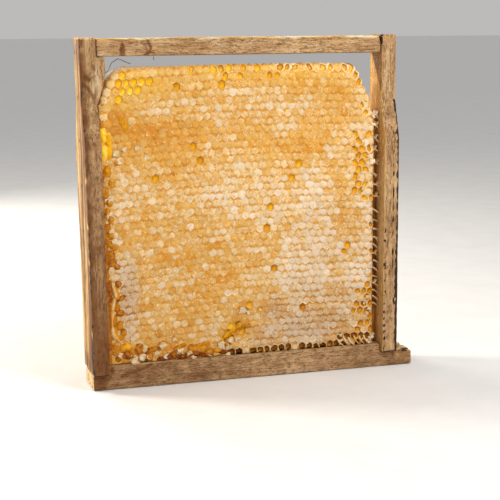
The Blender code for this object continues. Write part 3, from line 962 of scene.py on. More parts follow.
class Surface:
    """Points with painted values, and faces, gathered for one mesh.

    wet is soaked with honey, tone lighter or darker, by chance and as painted light and shade, arc a dark
    line in the groove above a cap, honey through thin wax and painted shade under the lip above, rim a
    bright edge, torn wax and on the caps' lower lips a painted highlight, and deep yellow, painted light
    coming through the wax. glow is dull pinkish wax in wax, and how bright the honey is in honey.
    """

    names = ("wet", "tone", "arc", "rim", "glow", "deep")

    def __init__(self):
        self.points, self.faces, self.slots = [], [], []
        self.values = {name: [] for name in self.names}

    def add(self, x, y, z, **painted):
        self.points.append((x, y, z))
        for name in self.names:
            self.values[name].append(painted.get(name, 0.0))
        return len(self.points) - 1

    def face(self, corners, slot=0, flip=False):
        self.faces.append(tuple(corners)[::-1] if flip else tuple(corners))
        self.slots.append(slot)

    def build(self, name, materials):
        made = new_mesh(name, self.points, self.faces, materials, self.slots)
        for value_name, numbers in self.values.items():
            point_values(made.data, value_name, numbers)
        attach(made, "root")
        return made


def make_comb_face(side):
    """One face of the comb: every cell with its cap or its open mouth, and the comb's edge."""
    lattice = Lattice(side)
    cells = cell_kinds(lattice)
    wax = Surface()
    picks = lattice.random
    shared = {}
    flip = side > 0

    def clamp(x, z):
        z = min(max(z, COMB_BOTTOM), COMB_HIGH.z - (0.0001 if side < 0 else BACK_TUCK.z))
        left = comb_left(z) + (BACK_TUCK.x if side > 0 and z > 0.185 else 0.0)
        return min(max(x, left), comb_right(z)), z

    def snap(x, z):
        """Takes the outermost points of the comb out to the bars that it is built against."""
        if z - COMB_BOTTOM < SNAP:
            z = COMB_BOTTOM
        if z < UPRIGHT_TOP:
            if x - comb_left(z) < SNAP:
                x = comb_left(z)
            if comb_right(z) - x < SNAP:
                x = comb_right(z)
        return x, z

    def boundary(key, x, z):
        """A point of the groove or wall between cells, shared by its neighbours."""
        if key in shared:
            return shared[key]
        own = [cells[m] for m in key if m in cells]
        if len(own) < len(key):
            x, z = snap(x, z)
        names = ("wet", "dull", "tone", "yellow", "pale")
        wet, dull, tone, yellow, pale = (sum(c[name] for c in own) / len(own) for name in names)
        opened = sum(c["kind"] == "open" for c in own) / len(own)
        wet += 0.14 * unit(0.5 + 1.5 * wander(x * 190, z * 190, side, 87))
        bx, bz = clamp(x, z)
        soaked = unit(wet)
        groove = (0.00020 - 0.00010 * soaked) * (1 - opened)
        groove += 0.00018 * wander(x * 330, z * 330, side, 82)
        # the line in the groove is strongest on a cell's upper borders: honey through thin wax and painted
        # shade under the lip above
        rows = sorted(m[0] for m in key)
        if rows[0] == rows[-1]:
            arc = 0.22
        elif len(rows) == 3 and rows[1] == rows[0]:
            arc = 0.45
        else:
            arc = 0.95
        broken = 0.58 + 1.4 * wander(x * 150, z * 150, side, 83) + picks.uniform(-0.45, 0.45)
        arc *= unit(broken) * (1 - opened) * (1 + 0.5 * dull) * (1.12 - 0.50 * soaked)
        painted = {"wet": wet, "arc": arc, "rim": min(0.75, 1.1 * pale) * opened, "tone": tone}
        out = surface(bx, bz, side) - groove
        shared[key] = wax.add(bx, side * out, bz, glow=dull, deep=yellow, **painted)
        return shared[key]

    def ring(cell, outline, inset, drop, **painted):
        """Twelve points of a ring inside a cell. What is callable is asked for each point."""
        made = []
        tx, tz = cell["tilt"]
        for k, (_, x, z) in enumerate(outline):
            share = inset(k) if callable(inset) else inset
            px = cell["x"] + (x - cell["x"]) * share
            pz = cell["z"] + (z - cell["z"]) * share
            if "low" in cell:
                pz -= cell["low"] + 0.0014 * max(0.0, -rising[k])
            px, pz = clamp(px, pz)
            out = drop(k) if callable(drop) else drop
            out += (tx * running[k] + tz * rising[k]) * share + picks.uniform(-0.00004, 0.00004)
            depth = surface(px, pz, side) + out
            values = {name: v(k) if callable(v) else v for name, v in painted.items()}
            made.append(wax.add(px, side * depth, pz, **values))
        return made

    def bridge(outer, inner, slot=0):
        for k in range(CORNERS):
            j = (k + 1) % CORNERS
            wax.face((outer[k], outer[j], inner[j], inner[k]), slot, flip)

    def fan(outer, centre, slot=0):
        for k in range(CORNERS):
            wax.face((outer[k], outer[(k + 1) % CORNERS], centre), slot, flip)

    def make_cap(cell, outline, outer):
        """A domed cap: a shoulder that leans over the groove above it, a top and a crest."""
        x, z, wet, dull = cell["x"], cell["z"], cell["wet"], cell["dull"]
        painted = {"tone": cell["tone"], "deep": cell["yellow"], "glow": dull}
        soaked = unit(wet)
        relief = 1.0 if z > 0.17 else 0.75
        dome = relief * 0.00023 * cell["dome"] * (1.2 - 0.6 * soaked)
        lean = 0.10 + 0.05 * cell["lean"]
        # the arcs above a cap are honey through thin wax and painted shade under the lip above
        crest_arc = 0.60 + 1.3 * wander(x * 170, z * 170, side, 84) + picks.uniform(-0.5, 0.5)
        crest_arc = min(1.2, max(0.0, crest_arc)) * (1 - 0.5 * soaked) * (1 + 0.4 * dull)
        # a painted highlight on the cap's lower lip
        lip_highlight = 0.45 + 1.1 * wander(x * 150, z * 150, side, 86) + picks.uniform(-0.4, 0.4)
        lip_highlight = min(1.1, max(0.0, lip_highlight)) * (1 - 0.6 * soaked)
        inset = lambda k: 0.82 - 1.2 * lean * rising[k]
        drop = lambda k: 0.00002 - (0.00020 - 0.0001 * soaked) * rising[k]
        arc = lambda k: crest_arc * unit(1.6 * rising[k])
        rim = lambda k: lip_highlight * unit(-1.5 * rising[k])
        shoulder = ring(cell, outline, inset, drop, wet=wet + 0.03, arc=arc, rim=rim, **painted)
        bridge(outer, shoulder)
        drop = lambda k: dome * (0.72 - 0.25 * rising[k])
        mottled = lambda k: wet + picks.uniform(-0.14, 0.10)
        arc = lambda k: 0.45 * crest_arc * max(0.0, rising[k])
        top = ring(cell, outline, 0.46, drop, wet=mottled, arc=arc, **painted)
        bridge(shoulder, top)
        z -= 0.0003
        fan(top, wax.add(x, side * (surface(x, z, side) + dome), z, wet=wet, **painted))

    def make_mouth(cell, outline, outer):
        """An open cell: a torn lip, a throat, and honey up its wall and in a pool."""
        x, z, wet, tone, pale = (cell[name] for name in ("x", "z", "wet", "tone", "pale"))
        honey, mouth, yellow = cell["honey"], cell["mouth"], cell["yellow"]
        level = min(cell["level"], max(0.0006, surface(x, z, side) - 0.0012))
        lobes = 0.10 * cell["ragged"]
        uneven = [1 + lobes * picks.uniform(-1, 1) for _ in range(CORNERS)]
        twist = picks.uniform(0, 6.28)
        wavy = [uneven[k] * (1 + lobes * math.sin(math.pi * k / 3 + twist)) for k in range(CORNERS)]
        reach = [min(0.89, mouth * share) for share in wavy]
        shade = [0.6 * running[k] * -1 + 0.8 * rising[k] for k in range(CORNERS)]
        painted = {"tone": tone, "wet": wet, "deep": yellow, "rim": pale}
        beyond = lambda k: min(0.97, reach[k] + 0.10)
        lip = ring(cell, outline, beyond, 0.00012 + 0.00010 * pale, **painted)
        bridge(outer, lip)
        painted = {"tone": tone + 2.0, "wet": max(wet, 0.85), "deep": max(yellow, 0.9 * honey)}
        edge_shade = lambda k: honey - (0.12 + 0.20 * honey) * max(-0.35, shade[k]) - 0.03
        throat = ring(cell, outline, lambda k: reach[k], -0.00022, rim=0.10 * pale, **painted)
        bridge(lip, throat)
        collar = [wax.add(*wax.points[m], glow=edge_shade(k), **painted) for k, m in enumerate(throat)]
        wall = ring(cell, outline, lambda k: 0.92 * reach[k], -level, glow=edge_shade, **painted)
        bridge(collar, wall, 1)
        pool_glow = lambda k: honey - 0.16 * shade[k]
        pool = ring(cell, outline, 0.50 * mouth, -level - 0.00018, glow=pool_glow, **painted)
        bridge(wall, pool, 1)
        bottom = surface(x, z, side) - level - 0.00022
        fan(pool, wax.add(x, side * bottom, z, glow=honey + 0.08, **painted), 1)

    angles = [math.radians(30 * k + 30) for k in range(CORNERS)]
    rising, running = [math.sin(a) for a in angles], [math.cos(a) for a in angles]
    for key in sorted(cells):
        outline = lattice.corners(*key)
        outer = [boundary(*corner) for corner in outline]
        make = make_cap if cells[key]["kind"] == "cap" else make_mouth
        make(cells[key], outline, outer)
    close_edge(wax, set(shared.values()))
    made = wax.build("comb_front" if side < 0 else "comb_back", [WAX, HONEY_GLOSS])
    map_face(made.data, side)
    if side < 0:
        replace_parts(made, "comb")
    return made


def crest(x, z):
    """Where the comb's upper outline runs, in its middle, beside a border point at (x, z)."""
    to_left, to_right = x - comb_left(z), comb_right(z) - x
    if min(to_left, to_right) < COMB_TOP - z:
        near = comb_left(z) + 0.0003 if to_left < to_right else comb_right(z) - 0.0003
        return near, z
    low, high = z, COMB_HIGH.z - 0.0010
    for _ in range(12):
        middle = (low + high) / 2
        if comb_left(middle) < x < comb_right(middle):
            low = middle
        else:
            high = middle
    return x, low - 0.0006 * abs(wander(x * 300, 0, 0, 85))


def close_edge(wax, corners):
    """Carries the comb's outline, which runs through cell corners, back to the middle."""
    uses = set()
    for face in wax.faces:
        uses.update(zip(face, face[1:] + face[:1]))
    free = [(a, b) for a, b in sorted(uses) if (b, a) not in uses and a in corners and b in corners]
    inner = {}
    for a, b in free:
        for end in (a, b):
            if end not in inner:
                x, y, z = wax.points[end]
                mx, mz = crest(x, z) if z > CREST_START else (x, z)
                painted = {"wet": 0.72, "tone": -1.0}
                # painted light: the upper edge is pale, light and yellow, as if lit through the wax
                if z > 0.165:
                    painted = {"wet": 0.35, "tone": 8.0, "rim": 0.5, "deep": 0.5}
                lumpy = 0.0004 * wander(x * 500, z * 500, y * 500, 85) if z > CREST_START else 0.0
                half = wax.add((x + mx) / 2, y * 0.5, (z + mz) / 2 + lumpy, **painted)
                inner[end] = (half, wax.add(mx, 0.0, mz, **painted))
    for a, b in free:
        wax.face((b, a, inner[a][0], inner[b][0]))
        wax.face((inner[b][0], inner[a][0], inner[a][1], inner[b][1]))


def make_web():
    """The thin wax web from the comb's right edge to the bar, torn off at the top."""
    web = Surface()
    rows, columns = 150, 7
    for side in (-1, 1):
        grid = []
        for i in range(rows + 1):
            line = []
            for j in range(columns + 1):
                top = 0.1755 - 0.0030 * j / columns + 0.0035 * wander(j * 0.9, 0, 0, 89)
                z = COMB_BOTTOM + (top - COMB_BOTTOM) * i / rows
                x = comb_right(z) + (RIGHT_BAR_INNER - GAP - comb_right(z)) * j / columns
                depth = comb_depth(max(x, COMB_FACE_RIGHT + 0.0002), z, side)
                depth *= 1 + 0.25 * wander(x * 500, z * 350, side, 90)
                edge = 1 - j / columns
                high = unit((z - 0.120) / 0.05)
                low = bump_at(z, 0.0330, 0.0090) * edge
                # painted light: the web in shade is lighter and paler upwards, and lighter at the comb's
                # edge low down
                wet = 0.90 - 0.20 * high + 0.25 * wander(x * 300, z * 200, side, 91)
                tone = 2 + 4 * high + 5 * low
                line.append(web.add(x, side * depth, z, wet=wet, tone=tone))
            grid.append(line)
        for lower, upper in zip(grid, grid[1:]):
            for j in range(columns):
                corners = (lower[j], lower[j + 1], upper[j + 1], upper[j])
                web.face(corners, 0, side > 0)
    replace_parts(web.build("comb_web", [WAX]), "comb")


def add_ribbon(store, path, front, back, thick, taper, **painted):
    """A thin upright wall of wax that follows a path of (x, z) points.

    front and back give how far it reaches forwards and back at each point. thick is its thickness
    at the first point, and taper the share of that at the last.
    """
    loops = []
    first_thick = thick
    for i, (x, z) in enumerate(path):
        thick = first_thick * (1 + (taper - 1) * i / (len(path) - 1))
        before, after = path[max(0, i - 1)], path[min(len(path) - 1, i + 1)]
        dx, dz = after[0] - before[0], after[1] - before[1]
        length = math.hypot(dx, dz) or 1.0
        nx, nz = -dz / length * thick / 2, dx / length * thick / 2
        loop = []
        for sx, y in ((1, front[i]), (1, back[i]), (-1, back[i]), (-1, front[i])):
            grow = 1.3 if y == back[i] else 0.8
            loop.append(store.add(x + sx * nx * grow, y, z + sx * nz * grow, **painted))
        loops.append(loop)
    for one, two in zip(loops, loops[1:]):
        for k in range(4):
            j = (k + 1) % 4
            store.face((one[k], one[j], two[j], two[k]))
    store.face(loops[0][::-1])
    store.face(loops[-1])


# Where torn scraps stand out like stars at the right border: (across, up, how many)
TORN_STARS = (
    (0.0915, 0.1745, 9),
    (0.0920, 0.1690, 7),
    (0.0900, 0.1432, 4),
    (0.0885, 0.0700, 3),
    (0.0915, 0.0215, 5),
)


def make_teeth():
    """The torn cell walls between the comb and the right bar, on both sides.

    On the front they go on along the lowest row at the right, with stars of torn wax.
    """
    teeth = Surface()
    rnd = random.Random(31)
    for side in (-1, 1):
        z = 0.0400
        while z < 0.170:
            z += rnd.uniform(0.0044, 0.0066) + (0.0026 if z > 0.10 else 0.0)
            start = COMB_FACE_RIGHT + rnd.uniform(-0.0002, 0.0008)
            length = rnd.uniform(0.0036, 0.0050)
            slope = rnd.uniform(-0.0030, -0.0002)
            reach = rnd.uniform(0.0080, 0.0100)
            path, front = [], []
            for k in range(8):
                t = k / 7
                droop = 0.0010 * max(0.0, t - 0.6) / 0.4
                pz = z + slope * t - droop + 0.0003 * wander(t * 3, z * 900, 0, 92)
                path.append((start + length * t, pz))
                front.append(side * (reach - 0.0012 * t + 0.0006 * wander(t * 4, z * 900, 5, 93)))
            painted = {"wet": rnd.uniform(0.2, 0.45), "rim": rnd.uniform(0.0, 0.3), "tone": -2.0}
            add_ribbon(teeth, path, front, [side * 0.0030] * 8, 0.0012, 0.7, **painted)
            if z > 0.115 or rnd.random() < 0.3:
                turn = rnd.choice((-1, 1))
                x, y = path[rnd.choice((2, 3, 4))]
                arm = [(x, y), (x + 0.0011, y + 0.0013 * turn), (x + 0.0018, y + 0.0027 * turn)]
                add_ribbon(teeth, arm, front[3:6], [side * 0.0030] * 3, 0.0011, 0.6, **painted)
    for n in range(7):
        x = 0.0665 + 0.0037 * n + rnd.uniform(-0.0004, 0.0004)
        high = 0.0205 + rnd.uniform(0.0, 0.0022)
        tall = high - COMB_BOTTOM
        path = [(x + 0.0030 * t * t + 0.0008 * t, high - tall * t) for t in (0, 0.3, 0.6, 1)]
        front = [-surface(*place, -1) - rnd.uniform(0.0006, 0.0016) for place in path]
        back = [-surface(*place, -1) + 0.0015 for place in path]
        painted = {"wet": rnd.uniform(0.1, 0.5), "rim": rnd.uniform(0.0, 0.4)}
        add_ribbon(teeth, path, front, back, 0.0010, 0.7, **painted)
    for x, z, count in TORN_STARS:
        for _ in range(count):
            px, pz = x + rnd.uniform(-0.0014, 0.0014), z + rnd.uniform(-0.0014, 0.0014)
            painted = {"wet": rnd.uniform(-0.3, 0.1), "rim": 1.0, "tone": 3.0}
            size, turn = rnd.uniform(0.0012, 0.0024), rnd.uniform(0, 6.28)
            add_flake(teeth, px, pz, size, turn, rnd.uniform(0.3, 1.2), -1, rnd, **painted)
    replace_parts(teeth.build("comb_wall_stubs", [WAX]), "comb")


def add_flake(store, x, z, size, turn, lift, side, rnd, **painted):
    """A torn scrap of wax: a ragged curved plate with one edge in the comb."""
    across = (math.cos(turn), math.sin(turn))
    away = (-math.sin(turn), math.cos(turn))
    base = surface(x, z, side) - 0.0003
    curl = rnd.uniform(-0.5, 0.9)
    ragged = [rnd.uniform(0.75, 1.2) for _ in range(6)]
    sheets = []
    for layer in (0, 1):
        sheet = []
        for i in range(4):
            v = i / 3
            rise = lift * (1 + curl * v)
            out = base + size * 1.1 * v * math.sin(rise) + (0.00022 - 0.00012 * v) * layer
            plane = size * 1.1 * v * math.cos(rise)
            line = []
            for j in range(5):
                u = j / 2 - 1
                wide = u * size * 0.6 * (1 - 0.55 * v * v) * ragged[min(i, 3)]
                tear = 1 + 0.35 * (ragged[j] - 1) * v * 2
                px = x + across[0] * wide + away[0] * plane * tear
                pz = z + across[1] * wide + away[1] * plane * tear
                cup = 0.25 * size * u * u
                line.append(store.add(px, side * (out + cup * v), pz, **painted))
            sheet.append(line)
        sheets.append(sheet)
    under, upper = sheets
    flip = side > 0
    for i in range(3):
        for j in range(4):
            store.face((upper[i][j], upper[i][j + 1], upper[i + 1][j + 1], upper[i + 1][j]), 0, flip)
            store.face((under[i][j], under[i + 1][j], under[i + 1][j + 1], under[i][j + 1]), 0, flip)
    rim = [(0, j) for j in range(5)] + [(i, 4) for i in range(1, 4)]
    rim += [(3, j) for j in range(3, -1, -1)] + [(i, 0) for i in (2, 1)]
    for (i, j), (k, m) in zip(rim, rim[1:] + rim[:1]):
        store.face((under[i][j], under[k][m], upper[k][m], upper[i][j]), 0, flip)


# Torn caps that lie on the front: (across, up, size, turn in degrees, lift)
SCRAPS = (
    (-0.0735, 0.0180, 0.0044, 95, 0.15),
    (-0.0695, 0.0188, 0.0034, 60, 0.25),
    (-0.0655, 0.0205, 0.0026, 120, 0.30),
    (-0.0612, 0.0200, 0.0030, 20, 0.35),
    (-0.0560, 0.0247, 0.0036, 40, 0.30),
    (-0.0533, 0.0188, 0.0030, 80, 0.35),
    (-0.0495, 0.0287, 0.0022, 10, 0.40),
    (-0.0450, 0.0246, 0.0030, 150, 0.30),
    (-0.0385, 0.0178, 0.0032, 30, 0.30),
    (-0.0345, 0.0172, 0.0026, 100, 0.35),
    (-0.0290, 0.0215, 0.0022, 40, 0.40),
    (-0.0235, 0.0176, 0.0026, 70, 0.30),
    (-0.0165, 0.0205, 0.0026, 20, 0.30),
    (-0.0110, 0.0172, 0.0024, 110, 0.30),
    (-0.0845, 0.0215, 0.0026, 60, 0.30),
    (-0.0770, 0.0310, 0.0028, 20, 0.25),
    (-0.0840, 0.1545, 0.0030, 80, 0.30),
    (-0.0815, 0.1500, 0.0036, 95, 0.25),
    (-0.0790, 0.1565, 0.0026, 60, 0.35),
    (-0.0715, 0.1562, 0.0024, 20, 0.30),
    (-0.0660, 0.1500, 0.0026, 0, 0.30),
    (-0.0882, 0.1235, 0.0026, 70, 0.35),
    (-0.0885, 0.1150, 0.0030, 100, 0.30),
    (-0.0880, 0.1040, 0.0026, 80, 0.35),
    (-0.0870, 0.0975, 0.0024, 60, 0.35),
    (-0.0020, 0.0442, 0.0034, 10, 0.20),
    (0.0030, 0.0435, 0.0026, 40, 0.25),
    (-0.0088, 0.0268, 0.0030, 100, 0.20),
    (-0.0055, 0.0255, 0.0026, 30, 0.30),
    (-0.0150, 0.0225, 0.0036, 60, 0.20),
    (-0.0120, 0.0200, 0.0030, 10, 0.25),
)

# Where smaller scraps stand up: (across, up, half width, half height, how many)
TORN = (
    (-0.0885, 0.1100, 0.0030, 0.0280, 12),
    (-0.0400, 0.0205, 0.0500, 0.0030, 14),
    (0.0250, 0.0380, 0.0180, 0.0100, 12),
    (0.0550, 0.0300, 0.0260, 0.0080, 12),
    (0.0865, 0.0700, 0.0025, 0.0500, 20),
    (0.0830, 0.1400, 0.0050, 0.0250, 8),
)


def make_torn_wax():
    """Scraps of torn caps: named ones and smaller ones on the front, chance ones behind."""
    scraps = Surface()
    rnd = random.Random(47)
    for x, z, size, turn, lift in SCRAPS:
        painted = {"wet": rnd.uniform(0.10, 0.34), "rim": rnd.uniform(0.0, 0.4), "tone": -2.0}
        add_flake(scraps, x, z, 1.3 * size, math.radians(turn), 0.55 * lift, -1, rnd, **painted)
    for x, z, half_width, half_height, count in TORN:
        for _ in range(count):
            px = x + rnd.uniform(-1, 1) * half_width
            pz = z + rnd.uniform(-1, 1) * half_height
            if not in_comb(px, pz) or pz < COMB_BOTTOM + 0.0008:
                continue
            size = rnd.uniform(0.0012, 0.0024)
            turn = rnd.uniform(0, 2 * math.pi)
            painted = {"wet": rnd.uniform(0.1, 0.45), "rim": rnd.uniform(0.0, 0.3), "tone": -2.0}
            painted["glow"] = dullness(px, pz) * 0.5
            add_flake(scraps, px, pz, size, turn, rnd.uniform(0.1, 0.35), -1, rnd, **painted)
    for _ in range(110):
        px, pz = rnd.uniform(-0.09, 0.088), rnd.uniform(0.018, 0.2)
        near_edge = min(px + 0.09, 0.088 - px, pz - 0.018) < 0.02
        if in_comb(px, pz) and near_edge:
            painted = {"wet": rnd.uniform(0.0, 0.4), "rim": rnd.uniform(0.0, 0.5), "tone": -1.0}
            size = rnd.uniform(0.0012, 0.0026)
            turn = rnd.uniform(0, 2 * math.pi)
            add_flake(scraps, px, pz, size, turn, rnd.uniform(0.1, 0.6), 1, rnd, **painted)
    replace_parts(scraps.build("torn_wax", [WAX]), "comb")


# Honey and soaked wax that stand on the front, as overlapping mounds:
# (across, up, half width, half height, turn, height, glow)
MOUNDS = (
    (-0.0935, 0.1665, 0.0026, 0.0050, 0, 0.0011, 1.05),
    (-0.0905, 0.1640, 0.0024, 0.0050, 0, 0.0010, 0.70),
    (-0.0930, 0.1560, 0.0026, 0.0050, 0, 0.0012, 1.10),
    (-0.0900, 0.1560, 0.0022, 0.0056, 0, 0.0010, 0.72),
    (-0.0915, 0.1430, 0.0026, 0.0040, 0, 0.0009, 0.48),
    (-0.0890, 0.1355, 0.0026, 0.0030, 0, 0.0009, 0.48),
    (-0.0925, 0.1290, 0.0022, 0.0030, 0, 0.0009, 0.45),
    (-0.0905, 0.1230, 0.0024, 0.0026, 0, 0.0010, 0.42),
    (-0.0920, 0.1175, 0.0022, 0.0028, 0, 0.0010, 0.38),
    (-0.0900, 0.1125, 0.0022, 0.0026, 0, 0.0010, 0.40),
    (-0.0920, 0.1070, 0.0020, 0.0034, 0, 0.0010, 0.36),
    (-0.0905, 0.1020, 0.0026, 0.0026, 0, 0.0011, 0.42),
    (-0.0915, 0.0970, 0.0022, 0.0024, 0, 0.0009, 0.36),
    (-0.0885, 0.0940, 0.0028, 0.0022, 0, 0.0010, 0.38),
    (-0.0905, 0.0890, 0.0026, 0.0034, 0, 0.0009, 0.28),
    (-0.0900, 0.0840, 0.0034, 0.0028, 0, 0.0010, 0.27),
    (-0.0868, 0.0812, 0.0020, 0.0022, 0, 0.0011, 0.24),
    (-0.0865, 0.0698, 0.0024, 0.0024, 0, 0.0012, 0.26),
    (-0.0920, 0.0660, 0.0020, 0.0070, 0, 0.0008, 0.18),
    (-0.0880, 0.0640, 0.0022, 0.0050, 12, 0.0014, 0.50),
    (-0.0847, 0.0606, 0.0034, 0.0016, 28, 0.0010, 0.26),
    (-0.0910, 0.0560, 0.0028, 0.0054, 0, 0.0009, 0.26),
    (-0.0876, 0.0545, 0.0020, 0.0036, 0, 0.0009, 0.28),
    (-0.0854, 0.0505, 0.0027, 0.0024, 0, 0.0012, 0.30),
    (-0.0905, 0.0460, 0.0032, 0.0050, 0, 0.0009, 0.30),
    (-0.0862, 0.0422, 0.0027, 0.0030, 0, 0.0012, 0.36),
    (-0.0835, 0.0378, 0.0023, 0.0026, 0, 0.0012, 0.34),
    (-0.0905, 0.0375, 0.0034, 0.0050, 0, 0.0010, 0.44),
    (-0.0860, 0.0340, 0.0030, 0.0022, 0, 0.0010, 0.40),
    (-0.0825, 0.0275, 0.0045, 0.0028, 10, 0.0012, 0.52),
    (-0.0808, 0.0276, 0.0020, 0.0018, 0, 0.0018, 0.80),
    (-0.0885, 0.0260, 0.0042, 0.0040, 0, 0.0009, 0.34),
    (-0.0810, 0.0222, 0.0042, 0.0032, 0, 0.0010, 0.18),
    (-0.0785, 0.0240, 0.0026, 0.0026, 0, 0.0012, 0.32),
    (-0.0735, 0.0262, 0.0030, 0.0034, 0, 0.0012, 0.30),
    (-0.0735, 0.0222, 0.0042, 0.0020, 0, 0.0010, 0.28),
    (-0.0668, 0.0205, 0.0024, 0.0048, 8, 0.0010, 0.26),
    (-0.0635, 0.0248, 0.0042, 0.0020, 0, 0.0011, 0.28),
    (-0.0575, 0.0280, 0.0023, 0.0021, 0, 0.0010, 0.40),
    (-0.0585, 0.0175, 0.0030, 0.0018, 15, 0.0006, 0.08),
    (-0.0535, 0.0188, 0.0028, 0.0028, 0, 0.0006, 0.08),
    (-0.0462, 0.0245, 0.0048, 0.0019, 18, 0.0010, 0.33),
    (-0.0497, 0.0196, 0.0032, 0.0028, 0, 0.0008, 0.18),
    (-0.0440, 0.0180, 0.0054, 0.0018, 0, 0.0006, 0.06),
    (-0.0385, 0.0228, 0.0024, 0.0032, 0, 0.0010, 0.31),
    (-0.0320, 0.0230, 0.0054, 0.0036, 0, 0.0012, 0.40),
    (-0.0280, 0.0258, 0.0028, 0.0021, 0, 0.0012, 0.44),
    (-0.0290, 0.0176, 0.0048, 0.0020, 0, 0.0006, 0.10),
    (-0.0355, 0.0190, 0.0042, 0.0018, 0, 0.0007, 0.16),
    (-0.0256, 0.0200, 0.0032, 0.0026, 0, 0.0009, 0.32),
    (-0.0196, 0.0203, 0.0034, 0.0020, 0, 0.0011, 0.42),
    (-0.0155, 0.0186, 0.0040, 0.0017, 0, 0.0007, 0.08),
    (-0.0135, 0.0245, 0.0020, 0.0028, 0, 0.0008, 0.34),
    (-0.0125, 0.0298, 0.0030, 0.0022, 35, 0.0008, 0.60),
    (-0.0088, 0.0324, 0.0030, 0.0022, 35, 0.0009, 0.62),
    (-0.0048, 0.0358, 0.0030, 0.0022, 35, 0.0009, 0.50),
    (0.0006, 0.0355, 0.0028, 0.0020, 0, 0.0008, 0.32),
    (-0.0850, 0.1620, 0.0014, 0.0010, 0, 0.0005, 0.50),
    (-0.0857, 0.1490, 0.0018, 0.0018, 0, 0.0005, 0.50),
    (-0.0815, 0.1760, 0.0020, 0.0030, 10, 0.0005, 0.52),
    (-0.0795, 0.1720, 0.0022, 0.0030, 0, 0.0005, 0.52),
)

# The bright folded lip of wax between the bar and the honey at the lower left
FOLD = (
    (-0.0910, 0.072),
    (-0.0885, 0.063),
    (-0.0905, 0.054),
    (-0.0915, 0.044),
    (-0.0905, 0.036),
    (-0.0840, 0.029),
)
HONEY_STEP = 0.00036  # between the points of the honey layer
HONEY_BLEND = 0.00016  # how softly its mounds run into each other
STRIP_TOP = 0.172  # the strip of honey along the left bar ends here
STRIP_REACH = 0.006


def honey_layer(x, z):
    """Thickness and glow of the honey on the front at (x, z). The thickness is below 0 outside."""
    x += 0.0006 * wander(x * 260, z * 260, 0, 95)
    z += 0.0006 * wander(x * 260, z * 260, 5, 95)
    total = glows = 0.0
    for px, pz, half_width, half_height, turn, height, glow in MOUNDS:
        if abs(x - px) > 0.008 or abs(z - pz) > 0.010:
            continue
        if px > -0.086 and pz < 0.036:
            height *= 0.6
        lift = max(-2.0, 1 - oval(x, z, px, pz, half_width, half_height, turn) ** 1.4) * height
        share = math.exp(lift / HONEY_BLEND)
        total += share
        glows += share * (glow - 0.03 - 0.13 * (1 - lift / height))
    strip = x - comb_left(z)
    if z < STRIP_TOP and strip < STRIP_REACH:
        width = 0.0030 + 0.0016 * wander(z * 160, 0, 0, 93) - 0.0012 * (z > 0.11)
        share = math.exp((0.0006 - 0.0007 * (strip / width) ** 2) / HONEY_BLEND)
        total += share
        glows += share * (0.19 if z < 0.145 else 0.50)
    if total < 1e-6:
        return -0.001, 0.0
    return HONEY_BLEND * math.log(total), glows / total


def add_fold(store, path, width):
    """A rounded lip of wax along a path of (x, z) points on the front, lying on the honey."""
    spots = []
    for one, two in zip(path, path[1:]):
        steps = int(math.dist(one, two) / 0.0005)
        spots += [tuple(a + (b - a) * i / steps for a, b in zip(one, two)) for i in range(steps)]
    for _ in range(8):
        for i in range(1, len(spots) - 1):
            spots[i] = tuple((a + 2 * b + c) / 4 for a, b, c in zip(spots[i - 1], spots[i], spots[i + 1]))
    rows = []
    for i in range(1, len(spots) - 1):
        (ax, az), (bx, bz) = spots[i - 1], spots[i + 1]
        length = math.dist(spots[i - 1], spots[i + 1])
        x, z = spots[i]
        full = min(1.0, 5 * i / len(spots), 0.3 + 5 * (len(spots) - i) / len(spots))
        wide = width * full * (1 + 0.9 * wander(x * 180, z * 180, 0, 94))
        row = []
        for across, high in ((-1, -0.3), (-0.75, 0.5), (-0.3, 0.95), (0.2, 0.9), (0.7, 0.5), (1, -0.3)):
            px = max(x + (az - bz) / length * wide * across, comb_left(z) + 0.0001)
            pz = z + (bx - ax) / length * wide * across
            thick = max(0.0, honey_layer(px, pz)[0]) + 0.0009 * full * high
            lump = 0.0003 * wander(px * 600, pz * 600, 0, 95)
            wet = 0.60 + 0.5 * wander(px * 400, pz * 300, 0, 96)
            painted = {"wet": wet, "rim": max(0.0, 0.35 * high), "tone": -2.0}
            row.append(store.add(px, -(surface(px, pz, -1) + thick + lump), pz, **painted))
        rows.append(row)
    for one, two in zip(rows, rows[1:]):
        for k in range(5):
            store.face((one[k], one[k + 1], two[k + 1], two[k]), 1, True)


